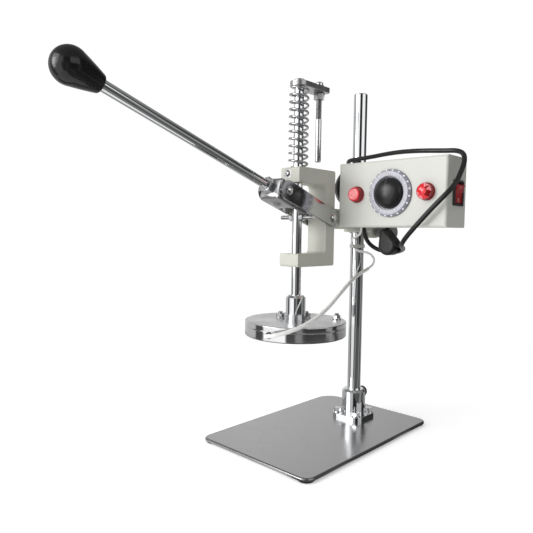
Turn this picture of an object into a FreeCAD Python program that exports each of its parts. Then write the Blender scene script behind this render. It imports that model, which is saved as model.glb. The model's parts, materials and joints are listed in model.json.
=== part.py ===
import FreeCAD, Part
import os
import math
from FreeCAD import Vector as V

os.makedirs("parts", exist_ok=True)

# Hand-press heat sealer for bottles and cups. Millimetres.
# Working frame while building: column axis at x = 0, y = 0, top of the base plate at z = 0,
# the ram and the lever in front of the column (-Y), the control box to the right (+X).
# Every solid is moved by (SHIFT_X, SHIFT_Y, PLATE_TOP) when it is written, so the row's origin is
# the middle of the footprint of the whole machine, on the table.

# ---------------------------------------------------------------- driving dimensions
PLATE_TOP = 7.0            # top of the base plate above the table
PLATE_W, PLATE_L = 186.0, 285.0
PLATE_X, PLATE_Y = -2.0, -80.2
PLATE_LIP = 4.0            # folded edge, sheet thickness included
PLATE_T = 2.0
PLATE_R = 13.0             # corner radius
PLATE_R_REAR = 28.0        # corner radius, left rear corner
FOOT_D, FOOT_IN = 20.0, 12.3

COL_R = 10.0               # column radius
COL_TOP = 485.0
SOCKET_R, SOCKET_H = 17.6, 42.5
FLANGE, FLANGE_T = 52.0, 6.0
BOLT_A = 16.8              # half the pitch of the socket bolts

RY = -141.2                # y of the ram axis
ROD_R = 6.5
ROD_TOP = 474.0
DISC_R = 67.0
DISC_Z0, DISC_SEAM, DISC_Z1 = 143.7, 155.9, 163.2
COLLAR_R, COLLAR_TOP = 13.15, 196.3

HEAD_W = 31.2              # width of the head casting
HEAD_Y0, HEAD_Y1 = -15.5, 61.0     # front and rear face, from the ram axis
HEAD_Z0, HEAD_Z1 = 234.3, 363.2
WIN_Z0, WIN_Z1, WIN_Y1 = 251.1, 343.4, 42.2
ARM_W, ARM_Z0, ARM_Z1 = 22.0, 285.0, 313.0
BOSS_R, BOSS_Z0, BOSS_Z1 = 20.5, 281.0, 319.0
SLEEVE_R = 12.0

# linkage, (y from the ram axis, z)
P1 = (-40.3, 330.6)        # front pivot, link to yoke
P2 = (0.0, 298.7)          # cross pin through the ram
P3 = (51.6, 299.0)         # rear pivot, link to head casting
LINK_X0, LINK_X1 = 17.0, 21.0
HANDLE_DEG = 18.61
HANDLE_L = 287.6           # front pivot to the middle of the knob
HANDLE_R = 6.0
KNOB_R = 17.75

BAR_Z0, BAR_Z1 = 467.0, 474.0      # crossbar on top of the ram
STOP_Y = 41.5
STOP_Z0 = 374.6
SPRING_R, SPRING_WIRE = 11.85, 3.0

BX0, BX1 = 19.0, 175.0     # control box
BY0, BY1 = -75.8, -24.5
BZ0, BZ1 = 287.5, 373.4
WALL = 1.2
DIAL_X, DIAL_Z = 99.0, 330.6
LAMP_DX = 50.0
ROCK_Y, ROCK_Z = -47.1, 329.2

CORD_D = 6.0
LEAD_D = 4.4

# the row's origin is the middle of the footprint of the machine without its mains cord
SHIFT_X, SHIFT_Y = -42.34, 204.755

nodes = {}


# ---------------------------------------------------------------- helpers
def cyl(r, h, base, axis=(0, 0, 1)):
    return Part.makeCylinder(r, h, V(*base), V(*axis))


def box(x0, x1, y0, y1, z0, z1):
    return Part.makeBox(x1 - x0, y1 - y0, z1 - z0, V(x0, y0, z0))


def ring(ro, ri, h, base, axis=(0, 0, 1)):
    return cyl(ro, h, base, axis).cut(cyl(ri, h + 2, tuple(b - a for a, b in zip(axis, base)), axis))


def frame_for(axis):
    a = V(*axis)
    a.normalize()
    ref = V(0, 0, 1) if abs(a.z) < 0.9 else V(1, 0, 0)
    u = a.cross(ref)
    u.normalize()
    return a, u, a.cross(u)


def hexagon(af, h, base, axis=(0, 0, 1), turn=0.0, chamfer=True):
    """hexagonal prism, af across flats, with the usual rounded-off corners"""
    a, u, w = frame_for(axis)
    r = af / math.sqrt(3)
    o = V(*base)
    pts = []
    for k in range(6):
        t = math.radians(60 * k + turn)
        pts.append(o + u * (r * math.cos(t)) + w * (r * math.sin(t)))
    pts.append(pts[0])
    s = Part.Face(Part.makePolygon(pts)).extrude(a * h)
    if chamfer:
        c = r - af / 2
        k = min(c * 1.0, h * 0.3)
        lim = Part.makeCone(r - c * 0.9, r + 0.4, k, o, a)
        lim = lim.fuse(Part.makeCylinder(r + 0.4, h - 2 * k, o + a * k, a))
        lim = lim.fuse(Part.makeCone(r + 0.4, r - c * 0.9, k, o + a * (h - k), a))
        s = s.common(lim)
    return s


def dome(r, h, base, axis):
    """spherical cap of base radius r and height h"""
    R = (r * r + h * h) / (2 * h)
    a = V(*axis)
    a.normalize()
    c = V(*base) + a * (h - R)
    s = Part.makeSphere(R, c)
    return s.common(Part.makeCylinder(r + 0.01, h + 1, V(*base), a))


def revolve(profile, base, axis):
    """turned piece: profile is (distance along the axis, radius), closed on the axis"""
    a, u, w = frame_for(axis)
    o = V(*base)
    pts = [o + a * d + u * r for d, r in profile]
    pts = [o + a * profile[0][0]] + pts + [o + a * profile[-1][0]]
    clean = [pts[0]]
    for p in pts[1:]:
        if (p - clean[-1]).Length > 1e-6:
            clean.append(p)
    clean.append(clean[0])
    return Part.Face(Part.makePolygon(clean)).revolve(o, a, 360)


def fillet(shape, r, pick):
    es = [e for e in shape.Edges if pick(e)]
    if not es:
        return shape
    try:
        s = shape.makeFillet(r, es)
        if s.isValid() and s.Volume > 0:
            return s
    except Exception:
        pass
    print("fillet left out", r)
    return shape


def chamfer(shape, r, pick):
    es = [e for e in shape.Edges if pick(e)]
    if not es:
        return shape
    try:
        s = shape.makeChamfer(r, es)
        if s.isValid() and s.Volume > 0:
            return s
    except Exception:
        pass
    print("chamfer left out", r)
    return shape


def along(e, d):
    """edge is straight and parallel to axis letter d"""
    if not isinstance(e.Curve, (Part.Line, Part.LineSegment)):
        return False
    t = e.Vertexes[-1].Point - e.Vertexes[0].Point
    if t.Length < 1e-6:
        return False
    t.normalize()
    return abs(getattr(t, d)) > 0.999


def mid(e):
    return e.CenterOfMass


def tangent_hull(c1, r1, c2, r2):
    """outline points of two circles and their outer tangents, as wire edges in a plane (2D)"""
    (x1, y1), (x2, y2) = c1, c2
    d = math.hypot(x2 - x1, y2 - y1)
    th = math.atan2(y2 - y1, x2 - x1)
    be = math.acos((r1 - r2) / d)
    a1 = [(x1 + r1 * math.cos(th + s * be), y1 + r1 * math.sin(th + s * be)) for s in (1, -1)]
    a2 = [(x2 + r2 * math.cos(th + s * be), y2 + r2 * math.sin(th + s * be)) for s in (1, -1)]
    m1 = (x1 - r1 * math.cos(th), y1 - r1 * math.sin(th))
    m2 = (x2 + r2 * math.cos(th), y2 + r2 * math.sin(th))
    return a1, m1, a2, m2


def hull_plate(c1, r1, c2, r2, place, thick_vec):
    """flat bar with two round ends; place maps the 2D point to a Vector"""
    a1, m1, a2, m2 = tangent_hull(c1, r1, c2, r2)
    q = lambda p: place(*p)
    es = [Part.Arc(q(a1[0]), q(m1), q(a1[1])).toShape(),
          Part.LineSegment(q(a1[1]), q(a2[1])).toShape(),
          Part.Arc(q(a2[1]), q(m2), q(a2[0])).toShape(),
          Part.LineSegment(q(a2[0]), q(a1[0])).toShape()]
    return Part.Face(Part.Wire(es)).extrude(thick_vec)


def poly_plate(pts, place, vec):
    q = [place(*p) for p in pts]
    q.append(q[0])
    return Part.Face(Part.makePolygon(q)).extrude(vec)


def tube(points, d, label, factor=0.45):
    """round tube along straight runs joined by tangent arcs; prints its length and radii"""
    P = [V(*p) for p in points]
    edges, radii = [], []
    start = P[0]
    length = 0.0
    for i in range(1, len(P) - 1):
        a, b, c = P[i - 1], P[i], P[i + 1]
        u = a - b
        w = c - b
        lu, lw = u.Length, w.Length
        u.normalize()
        w.normalize()
        turn = math.pi - u.getAngle(w)
        t = factor * min(lu, lw)
        r = t / math.tan(turn / 2)
        radii.append(r)
        p0, p1 = b + u * t, b + w * t
        bis = u + w
        bis.normalize()
        cen = b + bis * math.hypot(r, t)
        m = cen - bis * r
        edges.append(Part.LineSegment(start, p0).toShape())
        length += (p0 - start).Length
        edges.append(Part.Arc(p0, m, p1).toShape())
        length += r * turn
        start = p1
    edges.append(Part.LineSegment(start, P[-1]).toShape())
    length += (P[-1] - start).Length
    wire = Part.Wire(edges)
    t0 = P[1] - P[0]
    t0.normalize()
    prof = Part.Wire([Part.Circle(P[0], t0, d / 2).toShape()])
    s = wire.makePipeShell([prof], True, False)
    if s.ShapeType != "Solid":
        s = Part.Solid(s)
    v = math.pi * d * d / 4 * length
    print("%s: length %.1f, least radius %.1f (%.1f d), volume ratio %.4f, valid %s" % (
        label, length, min(radii), min(radii) / d, abs(s.Volume) / v, s.isValid()))
    print("  radii", " ".join("%.0f" % q for q in radii))
    return s


def put(name, *shapes):
    nodes[name] = list(shapes)


# ---------------------------------------------------------------- base
px0, px1 = PLATE_X - PLATE_W / 2, PLATE_X + PLATE_W / 2
py0, py1 = PLATE_Y - PLATE_L / 2, PLATE_Y + PLATE_L / 2
plate = box(px0, px1, py0, py1, -PLATE_LIP, 0)
rear = lambda e: mid(e).x < PLATE_X and mid(e).y > PLATE_Y
plate = fillet(plate, PLATE_R_REAR, lambda e: along(e, "z") and rear(e))
plate = fillet(plate, PLATE_R, lambda e: along(e, "z") and e.Length < 30 and abs(abs(mid(e).x - PLATE_X) - PLATE_W / 2) < 0.01
               and abs(abs(mid(e).y - PLATE_Y) - PLATE_L / 2) < 0.01)
plate = fillet(plate, 2.2, lambda e: abs(mid(e).z) < 0.01)
pocket = box(px0 + PLATE_T, px1 - PLATE_T, py0 + PLATE_T, py1 - PLATE_T, -PLATE_LIP - 1, -PLATE_T)
pocket = fillet(pocket, PLATE_R_REAR - PLATE_T, lambda e: along(e, "z") and rear(e))
pocket = fillet(pocket, PLATE_R - PLATE_T, lambda e: along(e, "z") and abs(abs(mid(e).x - PLATE_X) - PLATE_W / 2 + PLATE_T) < 0.01
                and abs(abs(mid(e).y - PLATE_Y) - PLATE_L / 2 + PLATE_T) < 0.01)
plate = plate.cut(pocket)
corners4 = [(-1, -1), (1, -1), (1, 1), (-1, 1)]
for sx, sy in corners4:
    plate = plate.cut(cyl(3.3, 10, (sx * BOLT_A, sy * BOLT_A, -5)))
foot_in = lambda sx, sy: FOOT_IN + (5.7 if sx < 0 and sy > 0 else 0.0)
feet_xy = [(PLATE_X + sx * (PLATE_W / 2 - foot_in(sx, sy)), PLATE_Y + sy * (PLATE_L / 2 - foot_in(sx, sy))) for sx, sy in corners4]
# short welded studs carry the feet
for x, y in feet_xy:
    plate = plate.fuse(cyl(2.0, PLATE_TOP - PLATE_T - 0.3, (x, y, -PLATE_TOP + 0.3)))
put("base_plate", plate.removeSplitter())

back = box(-34, 34, -34, 22, -PLATE_T - 3.5, -PLATE_T)
back = fillet(back, 6, lambda e: along(e, "z"))
for sx, sy in corners4:
    back = back.cut(cyl(3.02, 10, (sx * BOLT_A, sy * BOLT_A, -8)))
put("backing_plate", back)

feet, nuts = [], []
for x, y in feet_xy:
    f = cyl(FOOT_D / 2, PLATE_TOP - PLATE_T, (x, y, -PLATE_TOP))
    f = fillet(f, 1.2, lambda e: abs(mid(e).z + PLATE_TOP) < 0.01 and e.Length > 20)
    f = f.cut(cyl(2.0, 20, (x, y, -20))).cut(cyl(4.6, 3.9, (x, y, -PLATE_TOP - 1.0)))
    feet.append(f)
    nuts.append(hexagon(7, 2.6, (x, y, -PLATE_TOP + 0.3)).cut(cyl(2.0, 10, (x, y, -12))))
put("rubber_feet", *feet)
put("foot_nuts", *nuts)

fl = box(-FLANGE / 2, FLANGE / 2, -FLANGE / 2, FLANGE / 2, 0, FLANGE_T)
fl = fillet(fl, 13.0, lambda e: along(e, "z"))
fl = fillet(fl, 1.0, lambda e: abs(mid(e).z - FLANGE_T) < 0.01)
body = cyl(SOCKET_R, SOCKET_H - FLANGE_T + 1, (0, 0, FLANGE_T - 1))
body = chamfer(body, 3.2, lambda e: abs(mid(e).z - SOCKET_H) < 0.01 and e.Length > 20)
sock = fl.fuse(body).cut(cyl(COL_R, 60, (0, 0, -1)))
for sx, sy in corners4:
    sock = sock.cut(cyl(3.3, 20, (sx * BOLT_A, sy * BOLT_A, -1)))
    # flat seat for the washer beside the round body
    sock = sock.cut(cyl(6.7, 12, (sx * BOLT_A, sy * BOLT_A, FLANGE_T)))
SET_Z = 33.0
sock = sock.cut(cyl(4.0, 12, (0, COL_R - 1, SET_Z), (0, 1, 0)))
put("column_socket", sock.removeSplitter())

bolts, washers = [], []
for sx, sy in corners4:
    x, y = sx * BOLT_A, sy * BOLT_A
    washers.append(ring(6.3, 3.2, 1.2, (x, y, FLANGE_T)))
    b = hexagon(10.5, 4.8, (x, y, FLANGE_T + 1.2), turn=15 + 20 * sx)
    b = b.fuse(cyl(3.0, FLANGE_T + 1.2 + PLATE_T + 3.5, (x, y, -PLATE_T - 3.5)))
    bolts.append(b.removeSplitter())
put("socket_bolts", *(bolts + washers))

s = cyl(4.0, 9.6, (0, COL_R, SET_Z), (0, 1, 0))
h = revolve([(0, 7.4), (0.8, 8.1), (5.2, 8.1), (6.6, 6.4)], (0, COL_R + 9.6, SET_Z), (0, 1, 0))
h = h.cut(hexagon(5, 4, (0, COL_R + 9.6 + 3.2, SET_Z), (0, 1, 0), chamfer=False))
put("socket_set_screw", s.fuse(h).removeSplitter())

col = cyl(COL_R, COL_TOP, (0, 0, 0))
col = chamfer(col, 1.2, lambda e: abs(mid(e).z - COL_TOP) < 0.01)
put("column", col)

# ---------------------------------------------------------------- head casting on the column
hw = HEAD_W / 2
c = box(-hw, hw, RY + HEAD_Y0, RY + HEAD_Y1, HEAD_Z0, HEAD_Z1)
win = box(-hw - 2, hw + 2, RY + HEAD_Y0 - 5, RY + WIN_Y1, WIN_Z0, WIN_Z1)
win = fillet(win, 5.0, lambda e: along(e, "x") and mid(e).y > RY)
c = c.cut(win)
# softened outer edges of the casting
c = fillet(c, 3.0, lambda e: along(e, "x") and (abs(mid(e).y - RY - HEAD_Y1) < 0.1 or abs(mid(e).y - RY - HEAD_Y0) < 0.1)
           and (abs(mid(e).z - HEAD_Z0) < 0.1 or abs(mid(e).z - HEAD_Z1) < 0.1))
arm = box(-ARM_W / 2, ARM_W / 2, RY + HEAD_Y1 - 5, -8, ARM_Z0, ARM_Z1)
arm = fillet(arm, 3.0, lambda e: along(e, "y"))
pad = box(-ARM_W / 2, BX0, -66, -30, 290, 309)
pad = fillet(pad, 3.0, lambda e: along(e, "x") and mid(e).x > 0)
boss = cyl(BOSS_R, BOSS_Z1 - BOSS_Z0, (0, 0, BOSS_Z0))
boss = chamfer(boss, 1.5, lambda e: e.Length > 60)
ears = box(-12, 12, 10, 38, 272.5, 305)
ears = fillet(ears, 4.0, lambda e: along(e, "x") and mid(e).y > 30)
c = c.fuse([arm, pad, boss, ears])
c = c.cut(cyl(SLEEVE_R + 0.05, 80, (0, 0, 255)))
c = c.cut(box(-1.5, 1.5, 9, 45, 260, 330))
# ram bores, with room for the pressed-in bushes
c = c.cut(cyl(9.0, 200, (0, RY, 200)))
# bush screw and its shallow round seat on the front face
BSX, BSZ = -4.5, 355.0
c = c.cut(cyl(6.0, 1.4, (BSX, RY + HEAD_Y0 - 0.2, BSZ), (0, 1, 0)))
c = c.cut(cyl(2.5, 9, (BSX, RY + HEAD_Y0 - 0.2, BSZ), (0, 1, 0)))
# rear pivot bore
c = c.cut(cyl(4.0, 60, (-30, RY + P3[0], P3[1]), (1, 0, 0)))
# clamp screw bore through the ears
CLY, CLZ = 28.0, 281.5
c = c.cut(cyl(4.2, 40, (-20, CLY, CLZ), (1, 0, 0)))
# tapped holes for the box screws in the pad
BSY = (-57.0, -39.0)
for y in BSY:
    c = c.cut(cyl(2.5, 14, (BX0 - 14, y, 299.5), (1, 0, 0)))
put("head_casting", c.removeSplitter())

sl = ring(SLEEVE_R, COL_R + 0.05, BOSS_Z1 - BOSS_Z0 + 3.0, (0, 0, BOSS_Z0 - 1.5))
sl = sl.fuse(ring(13.6, COL_R + 0.05, 1.5, (0, 0, BOSS_Z1 + 0.1)))
sl = sl.cut(box(-1.2, 1.2, 5, 20, 270, 330))
put("clamp_sleeve", sl.removeSplitter())

bush = []
for z0, z1 in ((HEAD_Z0, WIN_Z0), (WIN_Z1, HEAD_Z1)):
    bush.append(ring(9.0, ROD_R + 0.05, z1 - z0 - 0.02, (0, RY, z0 + 0.01)))
put("guide_bushes", *bush)

s = cyl(2.5, 7.2, (BSX, RY + HEAD_Y0 + 0.2, BSZ), (0, 1, 0))
lim = cyl(9.0, 60, (0, RY, 330))
s = s.cut(lim)
hd = dome(4.4, 2.4, (BSX, RY + HEAD_Y0 + 0.2, BSZ), (0, -1, 0))
hd = hd.cut(hexagon(2.6, 3, (BSX, RY + HEAD_Y0 - 4.1, BSZ), (0, 1, 0), chamfer=False))
bush_screw = s.fuse(hd).removeSplitter()
put("bush_screw", bush_screw, ring(5.8, 2.6, 0.9, (BSX, RY + HEAD_Y0 + 0.25, BSZ), (0, 1, 0)).cut(
    cyl(4.4, 0.1, (BSX, RY + HEAD_Y0 + 0.16, BSZ), (0, 1, 0))))

# clamp screw, knob and nut
put("clamp_screw", cyl(4.0, 12.0 + 6.5 + 20.0, (-12 - 6.5 - 1.5, CLY, CLZ), (1, 0, 0)).fuse(
    cyl(5.6, 3.0, (12.4, CLY, CLZ), (1, 0, 0))).removeSplitter())
kb = revolve([(0, 7.0), (0.8, 7.6), (6.0, 7.6), (8.0, 9.9), (29.0, 9.9), (31.5, 8.6), (32.4, 6.0)], (15.6, CLY, CLZ), (1, 0, 0))
for k in range(8):
    t = math.radians(45 * k)
    kb = kb.cut(cyl(1.9, 40, (23.0, CLY + 11.2 * math.cos(t), CLZ + 11.2 * math.sin(t)), (1, 0, 0)))
kb = kb.cut(cyl(4.0, 3.0, (15.5, CLY, CLZ), (1, 0, 0)))
put("clamp_knob", kb)
put("clamp_nut", hexagon(12.8, 6.4, (-12.0 - 6.4, CLY, CLZ), (1, 0, 0)).cut(cyl(4.06, 30, (-30, CLY, CLZ), (1, 0, 0))))

# ---------------------------------------------------------------- links and pivots
yz = lambda x: (lambda y, z: V(x, RY + y, z))
links = {}
for name, x in (("link_right", LINK_X0), ("link_left", -LINK_X1)):
    p = hull_plate(P1, 12.6, P3, 11.4, yz(x), V(LINK_X1 - LINK_X0, 0, 0))
    p = chamfer(p, 0.5, lambda e: abs(abs(mid(e).x) - LINK_X1) < 0.01)
    p = p.cut(cyl(4.0, 10, (x - 2, RY + P1[0], P1[1]), (1, 0, 0)))
    p = p.cut(cyl(4.06, 10, (x - 2, RY + P3[0], P3[1]), (1, 0, 0)))
    links[name] = p
    put(name, p)


def pivot_pin(c, half, r_head, h_head):
    y, z = RY + c[0], c[1]
    s = cyl(4.0, 2 * half, (-half, y, z), (1, 0, 0))
    for sg in (1, -1):
        s = s.fuse(cyl(r_head, 0.9, (sg * half, y, z), (sg, 0, 0)))
        s = s.fuse(dome(r_head, h_head, (sg * (half + 0.9), y, z), (sg, 0, 0)))
    return s.removeSplitter()


put("front_pivot_pin", pivot_pin(P1, LINK_X1 + 0.05, 5.6, 2.6))
put("rear_pivot_pin", pivot_pin(P3, LINK_X1 + 0.1, 5.6, 2.2))
w = []
for sg in (1, -1):
    x0 = 15.65 if sg > 0 else -16.95
    w.append(ring(8.0, 4.06, 1.3, (x0, RY + P3[0], P3[1]), (1, 0, 0)))
for sg in (1, -1):
    x0 = 16.04 if sg > 0 else -16.96
    w.append(ring(8.6, 4.06, 0.92, (x0, RY + P1[0], P1[1]), (1, 0, 0)))
put("pivot_washers", *w)

# ---------------------------------------------------------------- yoke, handle and knob
t = math.radians(HANDLE_DEG)
hu = (-math.cos(t), math.sin(t))      # along the handle, away from the pivot
hv = (math.sin(t), math.cos(t))       # across it, upwards


def hp(u, w):
    return (P1[0] + hu[0] * u + hv[0] * w, P1[1] + hu[1] * u + hv[1] * w)


cheek_pts = [hp(12.5, -14.5), (-5.0, 302.2), (5.5, 302.9), (8.2, 307.5),
             (3.0, 317.5), (-21.0, 340.5), hp(-4, 13.2), hp(12.5, 12.5)]
yoke = None
for x0 in (11.5, -16.0):
    p = poly_plate(cheek_pts, yz(x0), V(4.5, 0, 0))
    p = fillet(p, 3.0, lambda e: along(e, "x"))
    yoke = p if yoke is None else yoke.fuse(p)
wall = poly_plate([hp(5.5, -14.5), hp(12.5, -14.5), hp(12.5, 12.5), hp(5.5, 13)], yz(-16.0), V(32.0, 0, 0))
wall = fillet(wall, 3.0, lambda e: along(e, "x"))
# sloping web under the front wall, between the cheeks
web = poly_plate([hp(12.0, -14.0), (-24.0, 309.2), (-22.5, 314.0), hp(6.5, -8.8)], yz(-13.0), V(26.0, 0, 0))
yoke = yoke.fuse([wall, web])
# round pad under the lock nut
pad_o = V(0, RY + hp(12.1, 0)[0], hp(12.1, 0)[1])
yoke = yoke.fuse(Part.makeCylinder(11.6, 1.4, pad_o, V(0, hu[0], hu[1])))
yoke = yoke.cut(cyl(4.06, 60, (-30, RY + P1[0], P1[1]), (1, 0, 0)))
yoke = yoke.cut(Part.makeCylinder(HANDLE_R - 0.6, 60, V(0, RY + hp(4.6, 0)[0], hp(4.6, 0)[1]), V(0, hu[0], hu[1])))
yoke = fillet(yoke, 1.0, lambda e: e.Length > 10 and abs(abs(mid(e).x) - 16.0) < 0.01 and mid(e).y < RY - 44 and mid(e).z > 320)
put("yoke", yoke.removeSplitter())


def along_handle(u):
    y, z = hp(u, 0)
    return V(0, RY + y, z)


hdir = V(0, hu[0], hu[1])
rod = Part.makeCylinder(HANDLE_R - 0.6, 18.5, along_handle(6.5), hdir)
rod = rod.fuse(Part.makeCylinder(HANDLE_R, HANDLE_L - 24.5 + 16.0, along_handle(24.5), hdir))
put("handle_rod", rod.removeSplitter())
ax = (0, hu[0], hu[1])
o = along_handle(13.55)
put("handle_lock_nut", hexagon(18.2, 9.4, (o.x, o.y, o.z), ax, turn=12).cut(
    Part.makeCylinder(HANDLE_R - 0.6, 40, along_handle(10), hdir)))
# pear knob, turned profile
KNOB_NECK = 32.0             # from the neck's end to the middle of the ball
L0, L1 = HANDLE_L - KNOB_NECK, HANDLE_L
KNOB_A = math.radians(16.2)  # slope of the neck, which runs into the ball without an edge
prof = [(0.0, 7.6), (0.25, 8.6), (0.8, 9.25), (1.6, 9.66)]
d1 = KNOB_NECK - KNOB_R * math.sin(KNOB_A)
r1 = KNOB_R * math.cos(KNOB_A)
prof.append((d1, r1))
for k in range(1, 22):
    a = math.pi / 2 + KNOB_A - k * (math.pi / 2 + KNOB_A) / 21.0
    prof.append((KNOB_NECK + KNOB_R * math.cos(a), KNOB_R * math.sin(a)))
prof = [(d, max(r, 0.0)) for d, r in prof]
o = along_handle(L0)
knob = revolve(prof, (o.x, o.y, o.z), ax)
knob = knob.cut(Part.makeCylinder(HANDLE_R, 19.0, along_handle(L0 - 0.5), hdir))
knob = knob.cut(rod)
put("handle_knob", knob)

# ---------------------------------------------------------------- ram
r = cyl(ROD_R, ROD_TOP - 168.0, (0, RY, 168.0))
r = chamfer(r, 1.0, lambda e: abs(mid(e).z - ROD_TOP) < 0.01)
r = r.cut(cyl(2.8, 20, (-10, RY + P2[0], P2[1]), (1, 0, 0)))
put("ram_rod", r)
pin = cyl(2.8, 54.2, (-27.1, RY + P2[0], P2[1]), (1, 0, 0))
pin = chamfer(pin, 0.5, lambda e: abs(abs(mid(e).x) - 27.1) < 0.01)
put("cross_pin", pin)
w = []
for x0 in (6.7, -10.9):
    w.append(hexagon(8.6, 4.2, (x0, RY + P2[0], P2[1]), (1, 0, 0), turn=30).cut(cyl(2.8, 60, (-30, RY + P2[0], P2[1]), (1, 0, 0))))
put("cross_pin_nuts", *w)

bar = cyl(12.2, BAR_Z1 - BAR_Z0, (0, RY, BAR_Z0)).fuse(box(-12.2, 12.2, RY, RY + 52.0, BAR_Z0, BAR_Z1)).removeSplitter()
bar = fillet(bar, 5.0, lambda e: along(e, "z") and mid(e).y > RY + 40)
bar = fillet(bar, 0.8, lambda e: abs(mid(e).z - BAR_Z1) < 0.01 or abs(mid(e).z - BAR_Z0) < 0.01)
bar = bar.cut(cyl(ROD_R, 30, (0, RY, BAR_Z0 - 5))).cut(cyl(4.0, 30, (0, RY + STOP_Y, BAR_Z0 - 5)))
put("crossbar", bar)
tn = revolve([(0, 7.6), (1.6, 7.6), (2.9, 6.2)], (0, RY, BAR_Z1), (0, 0, 1))
put("ram_top_nut", tn)

sb = cyl(4.0, BAR_Z1 - STOP_Z0, (0, RY + STOP_Y, STOP_Z0))
sb = fillet(sb, 1.2, lambda e: abs(mid(e).z - STOP_Z0) < 0.01)
sb = sb.fuse(hexagon(12.0, 3.0, (0, RY + STOP_Y, BAR_Z1), turn=10)).fuse(dome(6.2, 5.6, (0, RY + STOP_Y, BAR_Z1 + 3.0), (0, 0, 1)))
put("stop_bolt", sb.removeSplitter())
put("stop_bolt_nut", hexagon(13.0, 9.0, (0, RY + STOP_Y, BAR_Z0 - 9.0), turn=22).cut(cyl(4.0, 30, (0, RY + STOP_Y, BAR_Z0 - 15))))

# return spring between the head and the crossbar
z0, z1 = HEAD_Z1 + SPRING_WIRE / 2, BAR_Z0 - SPRING_WIRE / 2
turns = 10.75
hx = Part.makeHelix((z1 - z0) / turns, z1 - z0, SPRING_R)
hx.translate(V(0, RY, z0))
cs = Part.Wire([Part.Circle(V(SPRING_R, RY, z0), V(0, 1, (z1 - z0) / turns / (2 * math.pi * SPRING_R)), SPRING_WIRE / 2).toShape()])
sp = Part.Wire(hx).makePipeShell([cs], True, True)
if sp.ShapeType != "Solid":
    sp = Part.Solid(sp)
sp = sp.mirror(V(0, RY, 0), V(1, 0, 0))
put("return_spring", sp)
print("spring valid", sp.isValid(), "volume", round(sp.Volume))

# hub collar, disc cover, element, heated disc
hub = cyl(COLLAR_R, COLLAR_TOP - DISC_Z1, (0, RY, DISC_Z1))
hub = chamfer(hub, 3.4, lambda e: abs(mid(e).z - COLLAR_TOP) < 0.01)
hub = hub.cut(ring(COLLAR_R + 1, COLLAR_R - 1.0, 1.2, (0, RY, DISC_Z1 + 6.8)))
hub = hub.cut(cyl(ROD_R, 60, (0, RY, 168.0))).cut(cyl(4.0, 20, (0, RY, 155)))
hub = hub.cut(cyl(3.0, 20, (0, RY + 4, 181.0), (0, 1, 0)))
put("hub_collar", hub)
hub_set = cyl(3.0, COLLAR_R - ROD_R - 0.6, (0, RY + ROD_R + 0.02, 181.0), (0, 1, 0)).cut(
    hexagon(3, 2.6, (0, RY + COLLAR_R - 3.0, 181.0), (0, 1, 0), chamfer=False))
EL_RO, EL_RI, EL_H = 53.0, 40.0, 5.0
cover = cyl(DISC_R, DISC_Z1 - DISC_SEAM, (0, RY, DISC_SEAM))
cover = fillet(cover, 0.7, lambda e: abs(mid(e).z - DISC_Z1) < 0.01)
cover = chamfer(cover, 0.35, lambda e: abs(mid(e).z - DISC_SEAM) < 0.01)
cover = cover.cut(cyl(4.0, 20, (0, RY, 150)))
DB = [(-28.3, 1.5), (-4.5, 28.5), (35.2, 44.3)]
for x, y in DB:
    cover = cover.cut(cyl(3.0, 30, (x, RY + y, 145)))
plate2 = cyl(DISC_R, DISC_SEAM - DISC_Z0, (0, RY, DISC_Z0))
plate2 = chamfer(plate2, 1.2, lambda e: abs(mid(e).z - DISC_Z0) < 0.01)
plate2 = chamfer(plate2, 0.35, lambda e: abs(mid(e).z - DISC_SEAM) < 0.01)
plate2 = plate2.cut(ring(EL_RO, EL_RI, EL_H, (0, RY, DISC_SEAM - EL_H)))
for x, y in DB:
    plate2 = plate2.cut(cyl(3.0, 6.0, (x, RY + y, DISC_SEAM - 6.0)))
plate2 = plate2.cut(cyl(4.0, 20, (0, RY, 140))).cut(Part.makeCone(8.0, 4.0, 4.0, V(0, RY, DISC_Z0), V(0, 0, 1)))
LH_A = math.radians(-78.5)
LH_D = (math.cos(LH_A), math.sin(LH_A), 0)
LH_Z = 152.2
plate2 = plate2.cut(cyl(3.2, 30, (LH_D[0] * 45, RY + LH_D[1] * 45, LH_Z), LH_D))
# deep hole for the temperature probe, from the rear edge
plate2 = plate2.cut(cyl(2.2, 55, (0, RY + DISC_R - 30, 148.0), (0, 1, 0)))
put("disc_cover", cover)
put("heated_disc", plate2)
put("heating_element", ring(EL_RO, EL_RI, EL_H - 0.1, (0, RY, DISC_SEAM - EL_H)))
put("hub_screws", hub_set, Part.makeCone(7.9, 4.0, 3.9, V(0, RY, DISC_Z0 + 0.1), V(0, 0, 1)).fuse(
    cyl(4.0, 164.5 - DISC_Z0 - 1, (0, RY, DISC_Z0 + 1))).cut(hexagon(5, 3, (0, RY, DISC_Z0 - 0.2), chamfer=False)).cut(
    cyl(20, 30, (0, RY, 168.0))).removeSplitter())
db = []
for k, (x, y) in enumerate(DB):
    b = cyl(3.0, DISC_Z1 - DISC_SEAM + 6.0 + 8.2, (x, RY + y, DISC_SEAM - 6.0))
    b = fillet(b, 0.8, lambda e: abs(mid(e).z - DISC_Z1 - 8.2) < 0.01)
    b = b.fuse(cyl(5.9, 1.0, (x, RY + y, DISC_Z1))).fuse(hexagon(10, 4.6, (x, RY + y, DISC_Z1 + 1.0), turn=17 * k))
    db.append(b.removeSplitter())
put("disc_bolts", *db)
put("thermostat_probe", cyl(2.15, 32.0, (0, RY + DISC_R - 30, 148.0), (0, 1, 0)))
lb0 = DISC_R - 6.0
bushs = ring(3.2, LEAD_D / 2 + 0.3, 7.4, (LH_D[0] * lb0, RY + LH_D[1] * lb0, LH_Z), LH_D)
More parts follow.
